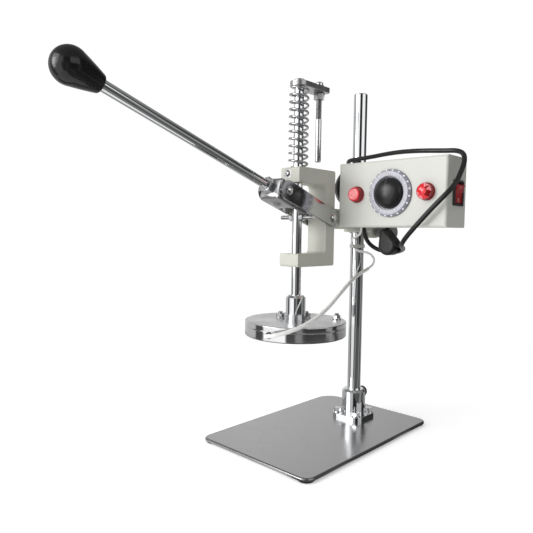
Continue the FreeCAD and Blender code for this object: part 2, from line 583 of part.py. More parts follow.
bushs = bushs.fuse(ring(4.2, LEAD_D / 2 + 0.3, 1.3, (LH_D[0] * (DISC_R + 0.1), RY + LH_D[1] * (DISC_R + 0.1), LH_Z), LH_D))
put("lead_bush", bushs.removeSplitter())

# heater lead: out of the disc, round its side, up to the column and into the underside of the box
LEAD_PTS = [
    (LH_D[0] * 61.2, RY + LH_D[1] * 61.2, LH_Z), (LH_D[0] * 75.0, RY + LH_D[1] * 75.0, LH_Z + 0.3),
    (24.5, -221.5, 154.4), (38.0, -215.5, 157.6), (48.5, -203.5, 162.4), (54.5, -186.0, 168.4), (55.5, -164.0, 175.4),
    (51.5, -138.0, 184.4), (44.5, -109.0, 195.4), (37.0, -80.0, 206.0), (30.5, -53.0, 215.4), (27.2, -31.0, 221.8),
    (28.2, -13.5, 227.2), (30.6, -1.0, 234.6), (30.0, 0.0, 244.4), (23.5, -5.0, 250.6), (14.5, -10.4, 252.6),
    (7.0, -13.6, 255.0), (2.9, -15.2, 260.2), (2.6, -16.8, 267.0), (7.5, -22.2, 271.6), (16.0, -29.8, 273.8), (26.0, -37.4, 275.6),
    (35.2, -43.6, 280.0), (36.0, -44.0, 290.0)]
put("heater_lead", tube(LEAD_PTS, LEAD_D, "heater lead"))

# ---------------------------------------------------------------- control box
shell = box(BX0, BX1, BY0, BY1 - WALL, BZ0, BZ1)
shell = fillet(shell, 3.0, lambda e: mid(e).y < BY0 + 1.0)
hollow = box(BX0 + WALL, BX1 - WALL, BY0 + WALL, BY1, BZ0 + WALL, BZ1 - WALL)
hollow = fillet(hollow, 1.8, lambda e: mid(e).y < BY0 + 2.5)
shell = shell.cut(hollow)
tabs = []
for x0, x1 in ((BX0 + WALL - 0.2, BX0 + 12), (BX1 - 12, BX1 - WALL + 0.2)):
    for z0, z1 in ((BZ0 + WALL - 0.2, BZ0 + 11), (BZ1 - 11, BZ1 - WALL + 0.2)):
        tabs.append(box(x0, x1, BY1 - WALL - 8.0, BY1 - WALL, z0, z1))
shell = shell.fuse(tabs)
CS = [(BX0 + 7, BZ0 + 6.5), (BX1 - 7, BZ0 + 6.5), (BX1 - 7, BZ1 - 6.5), (BX0 + 7, BZ1 - 6.5)]
for x, z in CS:
    shell = shell.cut(cyl(1.5, 12, (x, BY1 - 12, z), (0, 1, 0)))
shell = shell.cut(cyl(5.2, 6, (DIAL_X, BY0 - 2, DIAL_Z), (0, 1, 0)))
for sg in (-1, 1):
    shell = shell.cut(cyl(8.0, 6, (DIAL_X + sg * LAMP_DX, BY0 - 2, DIAL_Z), (0, 1, 0)))
shell = shell.cut(box(BX1 - 4, BX1 + 2, ROCK_Y - 11.2, ROCK_Y + 11.2, ROCK_Z - 13.6, ROCK_Z + 13.6))
for y in BSY:
    shell = shell.cut(cyl(2.7, 6, (BX0 - 2, y, 299.5), (1, 0, 0)))
LEX, LEY = 36.0, -44.0
shell = shell.cut(cyl(LEAD_D / 2 + 0.6, 8, (LEX, LEY, BZ0 - 3)))
put("box_shell", shell.removeSplitter())

GX, GZ = 96.0, 322.0
cover = box(BX0, BX1, BY1 - WALL, BY1, BZ0, BZ1)
cover = fillet(cover, 1.0, lambda e: along(e, "y"))
for x, z in CS:
    cover = cover.cut(cyl(1.6, 6, (x, BY1 - 3, z), (0, 1, 0)))
cover = cover.cut(cyl(6.0, 8, (GX, BY1 - 4, GZ), (0, 1, 0)))
# cooling slots near the bottom
for k in range(5):
    x = 128 + 8 * k
    cover = cover.cut(box(x, x + 3.0, BY1 - 3, BY1 + 1, BZ0 + 14, BZ0 + 40))
put("box_rear_cover", cover)
cs = []
for x, z in CS:
    b = cyl(1.5, 10.0, (x, BY1 - 10.0, z), (0, 1, 0)).fuse(dome(3.0, 1.9, (x, BY1, z), (0, 1, 0)))
    b = b.cut(box(x - 3.2, x + 3.2, BY1 + 1.1, BY1 + 3, z - 0.4, z + 0.4))
    cs.append(b.removeSplitter())
bs = []
for y in BSY:
    b = cyl(2.5, 13.0, (BX0 + WALL - 13.0, y, 299.5), (1, 0, 0)).fuse(cyl(4.6, 2.8, (BX0 + WALL, y, 299.5), (1, 0, 0)))
    b = b.cut(hexagon(3, 2, (BX0 + WALL + 1.5, y, 299.5), (1, 0, 0), chamfer=False))
    bs.append(b.removeSplitter())
put("box_screws", *(cs + bs))

# temperature dial, knob and thermostat
dr = revolve([(0, 30.6), (1.6, 30.6), (5.2, 27.4)], (DIAL_X, BY0, DIAL_Z), (0, -1, 0))
dr = dr.cut(cyl(21.4, 10, (DIAL_X, BY0 - 1.6, DIAL_Z), (0, -1, 0))).cut(cyl(5.2, 10, (DIAL_X, BY0 + 2, DIAL_Z), (0, -1, 0)))
put("dial_ring", dr)
kp = [(0, 19.3), (0.6, 19.8), (2.4, 19.7), (4.8, 19.0), (7.2, 17.5), (9.4, 15.0), (11.2, 11.7), (12.4, 7.9), (13.0, 3.8), (13.2, 0.6)]
tk = revolve(kp, (DIAL_X, BY0 - 2.1, DIAL_Z), (0, -1, 0))
tk = tk.cut(cyl(3.0, 12, (DIAL_X, BY0 - 1.0, DIAL_Z), (0, -1, 0)))
# pointer groove, laid down along the slope of the dome
groove = box(DIAL_X - 0.7, DIAL_X + 0.7, BY0 - 2.1 - 18.0, BY0 - 2.1 - 11.4, DIAL_Z + 8.0, DIAL_Z + 22.0)
groove.rotate(V(DIAL_X, BY0 - 2.1 - 11.4, DIAL_Z + 8.0), V(1, 0, 0), -28.5)
tk = tk.cut(groove)
put("temperature_knob", tk)
th = box(DIAL_X - 17, DIAL_X + 17, BY0 + WALL, BY0 + WALL + 17, DIAL_Z - 15, DIAL_Z + 15)
th = fillet(th, 2.0, lambda e: along(e, "y"))
th = th.fuse(cyl(5.0, 2.4, (DIAL_X, BY0 + WALL + 0.3, DIAL_Z), (0, -1, 0))).fuse(cyl(2.95, 12.5, (DIAL_X, BY0 + WALL, DIAL_Z), (0, -1, 0)))
put("thermostat", th.removeSplitter())

# indicator lamps: smooth lens on the left, faceted lens on the right
lx0, lx1 = DIAL_X - LAMP_DX, DIAL_X + LAMP_DX
ll = revolve([(0, 11.0), (1.2, 11.0), (1.7, 9.6), (8.0, 9.3), (9.2, 8.2)], (lx0, BY0, DIAL_Z), (0, -1, 0))
put("lamp_lens_left", ll)
lr = revolve([(0, 11.0), (1.2, 11.0), (1.7, 9.9), (7.6, 9.9)], (lx1, BY0, DIAL_Z), (0, -1, 0))
crown = None
a, u, w_ = frame_for((0, -1, 0))
o = V(lx1, BY0 - 7.6, DIAL_Z)
n8 = 8
lo = [o + u * (9.9 * math.cos(2 * math.pi * k / n8)) + w_ * (9.9 * math.sin(2 * math.pi * k / n8)) for k in range(n8)]
hi = [o + a * 3.8 + u * (5.0 * math.cos(2 * math.pi * (k + 0.5) / n8)) + w_ * (5.0 * math.sin(2 * math.pi * (k + 0.5) / n8)) for k in range(n8)]
faces = [Part.Face(Part.makePolygon(lo + [lo[0]])), Part.Face(Part.makePolygon(hi + [hi[0]]))]
for k in range(n8):
    j = (k + 1) % n8
    faces.append(Part.Face(Part.makePolygon([lo[k], lo[j], hi[k], lo[k]])))
    faces.append(Part.Face(Part.makePolygon([lo[j], hi[j], hi[k], lo[j]])))
crown = Part.Solid(Part.Shell(faces))
if crown.Volume < 0:
    crown.reverse()
put("lamp_lens_right", lr.fuse(crown).removeSplitter())
lh = []
for x in (lx0, lx1):
    b = cyl(7.9, 15, (x, BY0 + 0.02, DIAL_Z), (0, 1, 0)).fuse(ring(10.5, 7.9, 2.5, (x, BY0 + WALL + 0.02, DIAL_Z), (0, 1, 0)))
    lh.append(b.removeSplitter())
put("lamp_holders", *lh)

# rocker switch in the right-hand wall
hs = box(BX1, BX1 + 2.0, ROCK_Y - 14.0, ROCK_Y + 14.0, ROCK_Z - 15.5, ROCK_Z + 15.5)
hs = fillet(hs, 2.0, lambda e: along(e, "x"))
hs = fillet(hs, 0.8, lambda e: abs(mid(e).x - BX1 - 2.0) < 0.01)
hs = hs.fuse(box(BX1 - 24, BX1, ROCK_Y - 11.1, ROCK_Y + 11.1, ROCK_Z - 13.5, ROCK_Z + 13.5))
hs = hs.cut(box(BX1 - 9.0, BX1 + 5, ROCK_Y - 9.9, ROCK_Y + 9.9, ROCK_Z - 12.6, ROCK_Z + 12.6))
hs = hs.fuse(cyl(1.5, 21.0, (BX1 - 3.2, ROCK_Y - 10.5, ROCK_Z), (0, 1, 0)))
put("switch_housing", hs.removeSplitter())
# rocker: lower end (off mark) pressed in at rest, it tips about a cross axis
RKX = BX1 - 3.2
# the paddle is symmetric about the axis and stands tipped 9 degrees to the off side
rp = [(-2.6, -11.6), (3.9, -11.6), (6.5, -10.9), (5.0, -5.0), (4.5, 0.0), (5.0, 5.0), (6.5, 10.9), (3.9, 11.6), (-2.6, 11.6)]
rk = poly_plate(rp, lambda x, z: V(RKX + x, ROCK_Y - 9.6, ROCK_Z + z), V(0, 19.2, 0))
rk = fillet(rk, 0.8, lambda e: along(e, "y") and mid(e).x > RKX + 3)
rk = rk.cut(cyl(1.55, 30, (RKX, ROCK_Y - 15, ROCK_Z), (0, 1, 0)))
ROCK_TILT = 9.0
rk.rotate(V(RKX, ROCK_Y, ROCK_Z), V(0, 1, 0), ROCK_TILT)
put("switch_rocker", rk)
tb = box(62, 92, -44, -28.5, BZ0 + WALL, BZ0 + WALL + 13)
for k in range(4):
    tb = tb.cut(cyl(2.2, 6, (66 + 7.4 * k, -36, BZ0 + WALL + 9)))
put("terminal_block", tb)

# ---------------------------------------------------------------- mains cord
gl = hexagon(14, 5.0, (GX, BY1, GZ), (0, 1, 0)).fuse(cyl(5.9, 10.0, (GX, BY1 - 8.0, GZ), (0, 1, 0)))
gl = gl.fuse(Part.makeCone(5.2, 3.9, 24.0, V(GX, BY1 + 5.0, GZ), V(0, 1, 0)))
gl = gl.cut(cyl(CORD_D / 2, 60, (GX, BY1 - 12, GZ), (0, 1, 0)))
put("cord_gland", gl.removeSplitter())

# coil of the spare length behind the column, axis along Y, strapped to the column
CCX, CCZ, CR = -27.5, 349.4, 27.0
CY0, CY1 = 14.8, 41.6
put("cord_coil", ring(CR + CORD_D / 2, CR - CORD_D / 2, CY1 - CY0, (CCX, CY0, CCZ), (0, 1, 0)))

# from the gland to the underside of the coil
GY = BY1 + 29.0
CORD_A = [(GX, GY, GZ), (96.2, GY + 12.0, 322.0), (91.2, 28.6, 321.4), (81.0, 38.4, 319.8), (67.0, 44.2, 317.6),
          (49.0, 45.6, 315.4), (27.5, 44.2, 314.6), (8.0, 41.8, 316.0), (-8.0, 39.8, 319.2), (CCX, CY1 - 3.0, CCZ - CR)]
# from the top of the coil round the front of the column, over the box, down its right end,
# across its front, under it, up behind it in a loop and down into the plug
CORD_B = [(CCX - 9.23, CY0 + 3.0, CCZ + 25.37), (-27.5, 13.2, 379.2), (-20.2, 4.5, 382.6), (-16.2, -6.0, 385.2), (-7.0, -15.2, 387.0),
          (14.5, -18.2, 387.4), (36.0, -20.0, 388.2), (60.0, -26.0, 389.0), (85.0, -32.5, 388.8), (110.0, -37.5, 387.4),
          (133.0, -39.5, 385.4), (153.0, -38.0, 383.6), (168.0, -38.5, 382.6), (179.5, -43.5, 377.5), (185.0, -53.0, 366.0), (184.6, -63.0, 351.5),
          (184.0, -74.5, 338.0), (177.0, -84.0, 325.5), (165.0, -86.5, 313.0), (151.5, -86.0, 299.5), (138.0, -85.0, 286.0),
          (125.5, -82.5, 273.5), (115.5, -73.0, 265.8), (105.5, -55.0, 262.6), (96.0, -33.0, 260.0), (84.0, -13.5, 256.6), (67.0, -4.0, 253.0),
          (48.0, -5.0, 253.6), (35.0, -11.0, 259.0), (27.5, -18.0, 269.5), (23.5, -19.5, 284.5), (21.0, -17.0, 301.5), (21.6, -16.8, 319.5), (27.5, -16.8, 336.5), (40.0, -17.0, 349.0),
          (57.0, -17.2, 351.5), (71.0, -17.6, 342.0), (76.8, -18.0, 326.0), (74.5, -18.8, 309.5), (67.0, -19.6, 296.0), (61.0, -20.0, 283.0)]
put("power_cord", tube(CORD_A, CORD_D, "cord, gland to coil"), tube(CORD_B, CORD_D, "cord, coil to plug"))

# plug with its cord from above and its blades towards the rear
PLY0, PLY1 = -30.5, -10.5
pxz = lambda x, z: V(x, PLY0, z)
pb = hull_plate((61.0, 280.6), 5.4, (67.2, 262.4), 13.2, pxz, V(0, PLY1 - PLY0, 0))
pb = fillet(pb, 4.2, lambda e: abs(mid(e).y - PLY0) < 0.01)
pb = fillet(pb, 2.0, lambda e: abs(mid(e).y - PLY1) < 0.01)
put("plug_body", pb)
bl = []
for sg in (-1, 1):
    b = Part.makeBox(1.6, 15.5, 6.4, V(64.4 + sg * 6.35 - 0.8, PLY1, 259.6))
    b = fillet(b, 0.6, lambda e: abs(mid(e).y - PLY1 - 15.5) < 0.01)
    bl.append(b)
put("plug_blades", *bl)


def belt(c1, r1, c2, r2, th, z0, h):
    """closed strap round two circles, seen from above"""
    q = lambda x, y: V(x, y, z0)
    o = hull_plate(c1, r1 + th, c2, r2 + th, q, V(0, 0, h))
    i = hull_plate(c1, r1, c2, r2, lambda x, y: V(x, y, z0 - 1), V(0, 0, h + 2))
    return o.cut(i)


# clear tie that holds the heater lead on the column, and a strap that holds the coil on it
tie = belt((0, 0), COL_R + 0.15, (3.7, -15.2), LEAD_D / 2 + 1.9, 1.2, 257.6, 5.0)
tie = tie.fuse(box(-3.5, 2.5, COL_R + 0.6, COL_R + 5.5, 257.0, 263.2))
strap = belt((0, 0), COL_R + 0.15, (CCX + CR - 1.0, (CY0 + CY1) / 2), (CY1 - CY0) / 2 + 1.0, 1.3, CCZ - 4.5, 9.0)
put("cable_ties", tie.removeSplitter(), strap.removeSplitter())

# ---------------------------------------------------------------- write the files
bb = FreeCAD.BoundBox()
cordset = ("power_cord", "cord_coil", "plug_body", "plug_blades")
for name, shapes in nodes.items():
    for s in shapes:
        if name not in cordset:
            bb.add(s.optimalBoundingBox(False) if hasattr(s, "optimalBoundingBox") else s.BoundBox)
print("middle of the footprint %.3f %.3f  box x %.2f %.2f y %.2f %.2f z %.2f %.2f" % (
    (bb.XMin + bb.XMax) / 2, (bb.YMin + bb.YMax) / 2, bb.XMin, bb.XMax, bb.YMin, bb.YMax, bb.ZMin, bb.ZMax))
for name, shapes in nodes.items():
    out = []
    for s in shapes:
        sol = s.Solids
        if len(sol) != 1 or not s.isValid() or sol[0].Volume <= 0:
            print("CHECK", name, "solids", len(sol), "valid", s.isValid(), "volume", round(s.Volume, 1))
        for q in sol:
            q = q.copy()
            q.translate(V(SHIFT_X, SHIFT_Y, PLATE_TOP))
            out.append(q)
    shape = out[0] if len(out) == 1 else Part.makeCompound(out)
    shape.exportStep("parts/" + name + ".step")
print(len(nodes), "nodes")
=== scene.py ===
import json
import math

import bmesh
import bpy
import numpy as np
from mathutils import Matrix, Vector, noise


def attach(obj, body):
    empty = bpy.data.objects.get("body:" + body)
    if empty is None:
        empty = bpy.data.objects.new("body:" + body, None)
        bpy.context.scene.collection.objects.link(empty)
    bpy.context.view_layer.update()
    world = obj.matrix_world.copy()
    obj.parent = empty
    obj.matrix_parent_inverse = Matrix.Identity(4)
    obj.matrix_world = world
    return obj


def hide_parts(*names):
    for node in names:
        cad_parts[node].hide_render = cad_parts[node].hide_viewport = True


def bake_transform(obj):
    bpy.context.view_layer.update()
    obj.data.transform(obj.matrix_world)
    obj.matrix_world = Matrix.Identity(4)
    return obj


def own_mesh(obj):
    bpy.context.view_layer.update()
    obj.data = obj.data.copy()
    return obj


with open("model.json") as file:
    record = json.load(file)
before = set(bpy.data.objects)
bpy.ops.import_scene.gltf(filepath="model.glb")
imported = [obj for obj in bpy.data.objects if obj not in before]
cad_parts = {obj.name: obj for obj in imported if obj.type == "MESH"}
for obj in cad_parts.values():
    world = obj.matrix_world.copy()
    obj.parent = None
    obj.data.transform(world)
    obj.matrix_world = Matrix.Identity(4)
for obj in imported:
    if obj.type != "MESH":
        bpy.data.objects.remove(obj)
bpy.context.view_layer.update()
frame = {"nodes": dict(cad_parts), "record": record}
NODE = frame["nodes"]

# Working frame in millimetres, the one the construction uses: column axis at x = 0, y = 0,
# top of the base plate at z = 0. P() turns it into the row frame in metres.
OX, OY, OZ = -42.34, 204.755, 7.0
RY = -141.2


def P(x, y, z):
    return Vector(((x + OX) / 1000.0, (y + OY) / 1000.0, (z + OZ) / 1000.0))


# ------------------------------------------------------------------ camera
YAW, PITCH, ROLL, FPX = 0.758, 0.062, 0.014, 537.634
back = Vector((math.sin(YAW) * math.cos(PITCH), -math.cos(YAW) * math.cos(PITCH), math.sin(PITCH)))
fwd = -back
right = Vector((math.cos(YAW), math.sin(YAW), 0.0))
up = right.cross(fwd)
r_ = right * math.cos(ROLL) + up * math.sin(ROLL)
u_ = -right * math.sin(ROLL) + up * math.cos(ROLL)
cam_data = bpy.data.cameras.new("camera")
cam_data.sensor_width = 36.0
cam_data.sensor_fit = "HORIZONTAL"
cam_data.lens = FPX / 533.0 * 36.0
cam_data.clip_start = 0.01
cam_data.clip_end = 50.0
cam = bpy.data.objects.new("camera", cam_data)
bpy.context.scene.collection.objects.link(cam)
m = Matrix((r_, u_, back)).transposed().to_4x4()
m.translation = P(459.571, -684.067, 277.609)
cam.matrix_world = m
bpy.context.scene.camera = cam


# ------------------------------------------------------------------ mesh helpers
def link(name, me):
    o = bpy.data.objects.new(name, me)
    bpy.context.scene.collection.objects.link(o)
    return o


def mesh_from(name, verts, faces, angle=32.0):
    me = bpy.data.meshes.new(name)
    me.from_pydata([tuple(v) for v in verts], [], faces)
    me.validate()
    me.update()
    bm = bmesh.new()
    bm.from_mesh(me)
    bmesh.ops.remove_doubles(bm, verts=bm.verts, dist=1e-7)
    bmesh.ops.recalc_face_normals(bm, faces=bm.faces)
    bm.to_mesh(me)
    bm.free()
    me.shade_smooth()
    me.set_sharp_from_angle(angle=math.radians(angle))
    return link(name, me)


def axes_for(axis):
    a = Vector(axis).normalized()
    ref = Vector((0, 0, 1)) if abs(a.z) < 0.9 else Vector((1, 0, 0))
    u = a.cross(ref).normalized()
    return a, u, a.cross(u)


def rounded(profile, rad, steps=4):
    """profile corners (d, r) cut back and rounded by rad, except the first and the last"""
    out = [profile[0]]
    for i in range(1, len(profile) - 1):
        p0, p1, p2 = (Vector(profile[i - 1]), Vector(profile[i]), Vector(profile[i + 1]))
        rr = rad[i] if isinstance(rad, (list, tuple)) else rad
        a, b = p0 - p1, p2 - p1
        t = min(rr, a.length * 0.45, b.length * 0.45)
        if t < 1e-5 or a.length < 1e-6 or b.length < 1e-6:
            out.append(tuple(p1))
            continue
        q0, q1 = p1 + a.normalized() * t, p1 + b.normalized() * t
        for k in range(steps + 1):
            f = k / steps
            q = q0 * (1 - f) ** 2 + p1 * 2 * f * (1 - f) + q1 * f * f
            out.append(tuple(q))
    out.append(profile[-1])
    return out


def lathe(name, profile, base, axis, seg=96, angle=32.0, wobble=None):
    """turned piece, profile in mm as (distance along axis, radius), base in working mm"""
    a, u, w = axes_for(axis)
    o = P(*base)
    verts, faces, rings = [], [], []
    for d, r in profile:
        if r < 1e-6:
            rings.append([len(verts)])
            verts.append(o + a * d / 1000.0)
        else:
            ring = []
            for k in range(seg):
                t = 2 * math.pi * k / seg
                rr = r if wobble is None else wobble(d, r, t)
                ring.append(len(verts))
                verts.append(o + a * (d / 1000.0) + (u * math.cos(t) + w * math.sin(t)) * (rr / 1000.0))
            rings.append(ring)
    for A, B in zip(rings[:-1], rings[1:]):
        if len(A) == 1 and len(B) == 1:
            continue
        for k in range(seg):
            j = (k + 1) % seg
            if len(A) == 1:
                faces.append((A[0], B[j], B[k]))
            elif len(B) == 1:
                faces.append((A[k], A[j], B[0]))
            else:
                faces.append((A[k], A[j], B[j], B[k]))
    return mesh_from(name, verts, faces, angle)


def bridge_tube(name, pts, radius, seg=20, closed_ends=True, angle=60.0):
    """round tube of given radius (number, or one per point) along points in metres"""
    pts = [Vector(p) for p in pts]
    n = len(pts)
    rad = [radius] * n if not hasattr(radius, "__len__") else radius
    tang = []
    for i in range(n):
        d = pts[min(i + 1, n - 1)] - pts[max(i - 1, 0)]
        tang.append(d.normalized())
    ref = Vector((0, 0, 1)) if abs(tang[0].z) < 0.9 else Vector((1, 0, 0))
    u = (ref - tang[0] * ref.dot(tang[0])).normalized()
    verts, faces = [], []
    for i in range(n):
        if i:
            u = (u - tang[i] * u.dot(tang[i])).normalized()
        w = tang[i].cross(u)
        for k in range(seg):
            t = 2 * math.pi * k / seg
            verts.append(pts[i] + (u * math.cos(t) + w * math.sin(t)) * rad[i])
    for i in range(n - 1):
        for k in range(seg):
            j = (k + 1) % seg
            faces.append((i * seg + k, i * seg + j, (i + 1) * seg + j, (i + 1) * seg + k))
    if closed_ends:
        for base, i in ((0, 0), ((n - 1) * seg, n - 1)):
            c = len(verts)
            verts.append(pts[i])
            for k in range(seg):
                faces.append((base + k, base + (k + 1) % seg, c))
    return mesh_from(name, verts, faces, angle)


def spline_points(points, order=3, res=12):
    """the line that an open NURBS spline with these control points makes, in metres"""
    cu = bpy.data.curves.new("route", "CURVE")
    cu.dimensions = "3D"
    cu.resolution_u = res
    sp = cu.splines.new("NURBS")
    sp.points.add(len(points) - 1)
    for q, p in zip(sp.points, points):
        q.co = (p[0], p[1], p[2], 1.0)
    sp.order_u = order
    sp.use_endpoint_u = True
    o = link("route", cu)
    bpy.context.view_layer.update()
    dg = bpy.context.evaluated_depsgraph_get()
    me = bpy.data.meshes.new_from_object(o.evaluated_get(dg))
    out = [v.co.copy() for v in me.vertices]
    bpy.data.objects.remove(o)
    bpy.data.curves.remove(cu)
    bpy.data.meshes.remove(me)
    return out


def thread(name, base, axis, length, r, pitch, depth, seg=40, per=8, chamfer=0.8):
    """screw thread with closed ends; base in working mm"""
    a, u, w = axes_for(axis)
    o = P(*base)
    n = max(8, int(length / pitch * per))
    verts, faces = [], []
    for i in range(n + 1):
        d = length * i / n
        for k in range(seg):
            t = 2 * math.pi * k / seg
            ph = (d / pitch - k / seg) % 1.0
            tri = 1.0 - abs(ph * 2 - 1.0)
            tri = min(1.0, max(0.0, (tri - 0.12) / 0.76))
            rr = r - depth * (1.0 - tri)
            e = min(d, length - d)
            if e < chamfer:
                rr = min(rr, r - depth * 1.05 * (1 - e / chamfer))
            verts.append(o + a * (d / 1000.0) + (u * math.cos(t) + w * math.sin(t)) * (rr / 1000.0))
    for i in range(n):
        for k in range(seg):
            j = (k + 1) % seg
            faces.append((i * seg + k, i * seg + j, (i + 1) * seg + j, (i + 1) * seg + k))
    for b, d in ((0, 0.0), (n * seg, length)):
        c = len(verts)
        verts.append(o + a * (d / 1000.0))
        for k in range(seg):
            faces.append((b + k, b + (k + 1) % seg, c))
    return mesh_from(name, verts, faces, 50.0)


def bevel_mesh(o, width, segments=3, angle=30.0):
    md = o.modifiers.new("bevel", "BEVEL")
    md.width = width
    md.segments = segments
    md.limit_method = "ANGLE"
    md.angle_limit = math.radians(angle)
    md.harden_normals = False
    dg = bpy.context.evaluated_depsgraph_get()
    me = bpy.data.meshes.new_from_object(o.evaluated_get(dg))
    old = o.data
    o.modifiers.clear()
    o.data = me
    bpy.data.meshes.remove(old)
    o.data.shade_smooth()
    o.data.set_sharp_from_angle(angle=math.radians(40))
    return o


def prism(name, outline, base_fn, vec, bevel=0.0, segments=3):
    """closed prism from an outline; base_fn maps an outline point to metres, vec in metres"""
    n = len(outline)
    v = Vector(vec)
    lo = [base_fn(*p) for p in outline]
    verts = lo + [p + v for p in lo]
    faces = [tuple(range(n)), tuple(range(2 * n - 1, n - 1, -1))]
    for k in range(n):
        j = (k + 1) % n
        faces.append((k, j, n + j, n + k))
    o = mesh_from(name, verts, faces, 30.0)
    if bevel:
        bevel_mesh(o, bevel, segments)
    return o


def join(name, objs):
    bm = bmesh.new()
    mats = []
    for o in objs:
        me = o.data
        for mt in me.materials:
            if mt not in mats:
                mats.append(mt)
        own = [mats.index(mt) for mt in me.materials]
        start = len(bm.faces)
        bm.from_mesh(me)
        bm.faces.ensure_lookup_table()
        for f in bm.faces[start:]:
            f.material_index = own[f.material_index]
    me = bpy.data.meshes.new(name)
    bm.to_mesh(me)
    bm.free()
    for mt in mats:
        me.materials.append(mt)
    for o in objs:
        old = o.data
        bpy.data.objects.remove(o)
        bpy.data.meshes.remove(old)
    me.shade_smooth()
    me.set_sharp_from_angle(angle=math.radians(35))
    return link(name, me)


# ------------------------------------------------------------------ materials
def node(nt, kind, **kw):
    n = nt.nodes.new(kind)
    for k, v in kw.items():
        setattr(n, k, v)
    return n


def surface(name, color, rough, metallic=0.0, color_var=0.06, rough_var=0.3, blotch=18.0, grain=900.0, grain_bump=0.02,
            stretch=(1, 1, 1), peel=0.0, peel_scale=420.0, wear=0.0, wear_color=(0.8, 0.8, 0.8), wear_width=0.0006, coat=0.0, coat_rough=0.05,
            spec=0.5, edge=0.00025, aniso=0.0, transmission=0.0, ior=1.5, emission=None, emission_strength=0.0,
            sheen=0.0, smudge=0.0, subsurface=0.0, scratches=0.0):
    """One finish: large blotches and fine grain in colour and roughness, grain or orange peel in the surface, worn edges."""
    mt = bpy.data.materials.new(name)
    mt.use_nodes = True
    nt = mt.node_tree
    nt.nodes.clear()
    L = nt.links.new
    out = node(nt, "ShaderNodeOutputMaterial")
    b = node(nt, "ShaderNodeBsdfPrincipled")
    L(b.outputs["BSDF"], out.inputs["Surface"])
    b.inputs["Metallic"].default_value = metallic
    b.inputs["Specular IOR Level"].default_value = spec
    b.inputs["IOR"].default_value = ior
    b.inputs["Coat Weight"].default_value = coat
    b.inputs["Coat Roughness"].default_value = coat_rough
    b.inputs["Anisotropic"].default_value = aniso
    b.inputs["Transmission Weight"].default_value = transmission
    b.inputs["Sheen Weight"].default_value = sheen
    b.inputs["Subsurface Weight"].default_value = subsurface
    if subsurface:
        b.inputs["Subsurface Radius"].default_value = (0.004, 0.002, 0.002)
    if emission:
        b.inputs["Emission Color"].default_value = (*emission, 1)
        b.inputs["Emission Strength"].default_value = emission_strength
    tc = node(nt, "ShaderNodeTexCoord")
    mp = node(nt, "ShaderNodeMapping")
    mp.inputs["Scale"].default_value = stretch
    L(tc.outputs["Object"], mp.inputs["Vector"])
    big = node(nt, "ShaderNodeTexNoise")
    big.inputs["Scale"].default_value = blotch
    big.inputs["Detail"].default_value = 4.0
    big.inputs["Roughness"].default_value = 0.6
    L(tc.outputs["Object"], big.inputs["Vector"])
    fine = node(nt, "ShaderNodeTexNoise")
    fine.inputs["Scale"].default_value = grain
    fine.inputs["Detail"].default_value = 3.0
    L(mp.outputs["Vector"], fine.inputs["Vector"])
    # colour
    ramp = node(nt, "ShaderNodeValToRGB")
    c = Vector(color)
    lo, hi = c * (1 - color_var), c * (1 + color_var)
    ramp.color_ramp.elements[0].position = 0.3
    ramp.color_ramp.elements[1].position = 0.7
    ramp.color_ramp.elements[0].color = (*[min(1, max(0, x)) for x in lo], 1)
    ramp.color_ramp.elements[1].color = (*[min(1, max(0, x)) for x in hi], 1)
    mixn = node(nt, "ShaderNodeMath", operation="MULTIPLY_ADD")
    L(fine.outputs["Fac"], mixn.inputs[0])
    mixn.inputs[1].default_value = 0.35
    sub = node(nt, "ShaderNodeMath", operation="MULTIPLY")
    L(big.outputs["Fac"], sub.inputs[0])
    sub.inputs[1].default_value = 0.65
    L(sub.outputs[0], mixn.inputs[2])
    L(mixn.outputs[0], ramp.inputs["Fac"])
    color_out = ramp.outputs["Color"]
    bev = node(nt, "ShaderNodeBevel", samples=4)
    bev.inputs["Radius"].default_value = edge
    if wear > 0:
        wb = node(nt, "ShaderNodeBevel", samples=6)
        wb.inputs["Radius"].default_value = wear_width
        geo = node(nt, "ShaderNodeNewGeometry")
        dot = node(nt, "ShaderNodeVectorMath", operation="DOT_PRODUCT")
        L(wb.outputs["Normal"], dot.inputs[0])
        L(geo.outputs["Normal"], dot.inputs[1])
        inv = node(nt, "ShaderNodeMapRange")
        inv.inputs["From Min"].default_value = 0.995
        inv.inputs["From Max"].default_value = 0.90
        L(dot.outputs["Value"], inv.inputs["Value"])
        patch = node(nt, "ShaderNodeMapRange")
        patch.inputs["From Min"].default_value = 0.42
        patch.inputs["From Max"].default_value = 0.62
        wn = node(nt, "ShaderNodeTexNoise")
        wn.inputs["Scale"].default_value = 160.0
        wn.inputs["Detail"].default_value = 5.0
        L(tc.outputs["Object"], wn.inputs["Vector"])
        L(wn.outputs["Fac"], patch.inputs["Value"])
        mul = node(nt, "ShaderNodeMath", operation="MULTIPLY")
        L(inv.outputs["Result"], mul.inputs[0])
        L(patch.outputs["Result"], mul.inputs[1])
        mul2 = node(nt, "ShaderNodeMath", operation="MULTIPLY")
        L(mul.outputs[0], mul2.inputs[0])
        mul2.inputs[1].default_value = wear
        mix = node(nt, "ShaderNodeMix", data_type="RGBA")
        L(mul2.outputs[0], mix.inputs["Factor"])
        L(color_out, mix.inputs["A"])
        mix.inputs["B"].default_value = (*wear_color, 1)
        color_out = mix.outputs["Result"]
    L(color_out, b.inputs["Base Color"])
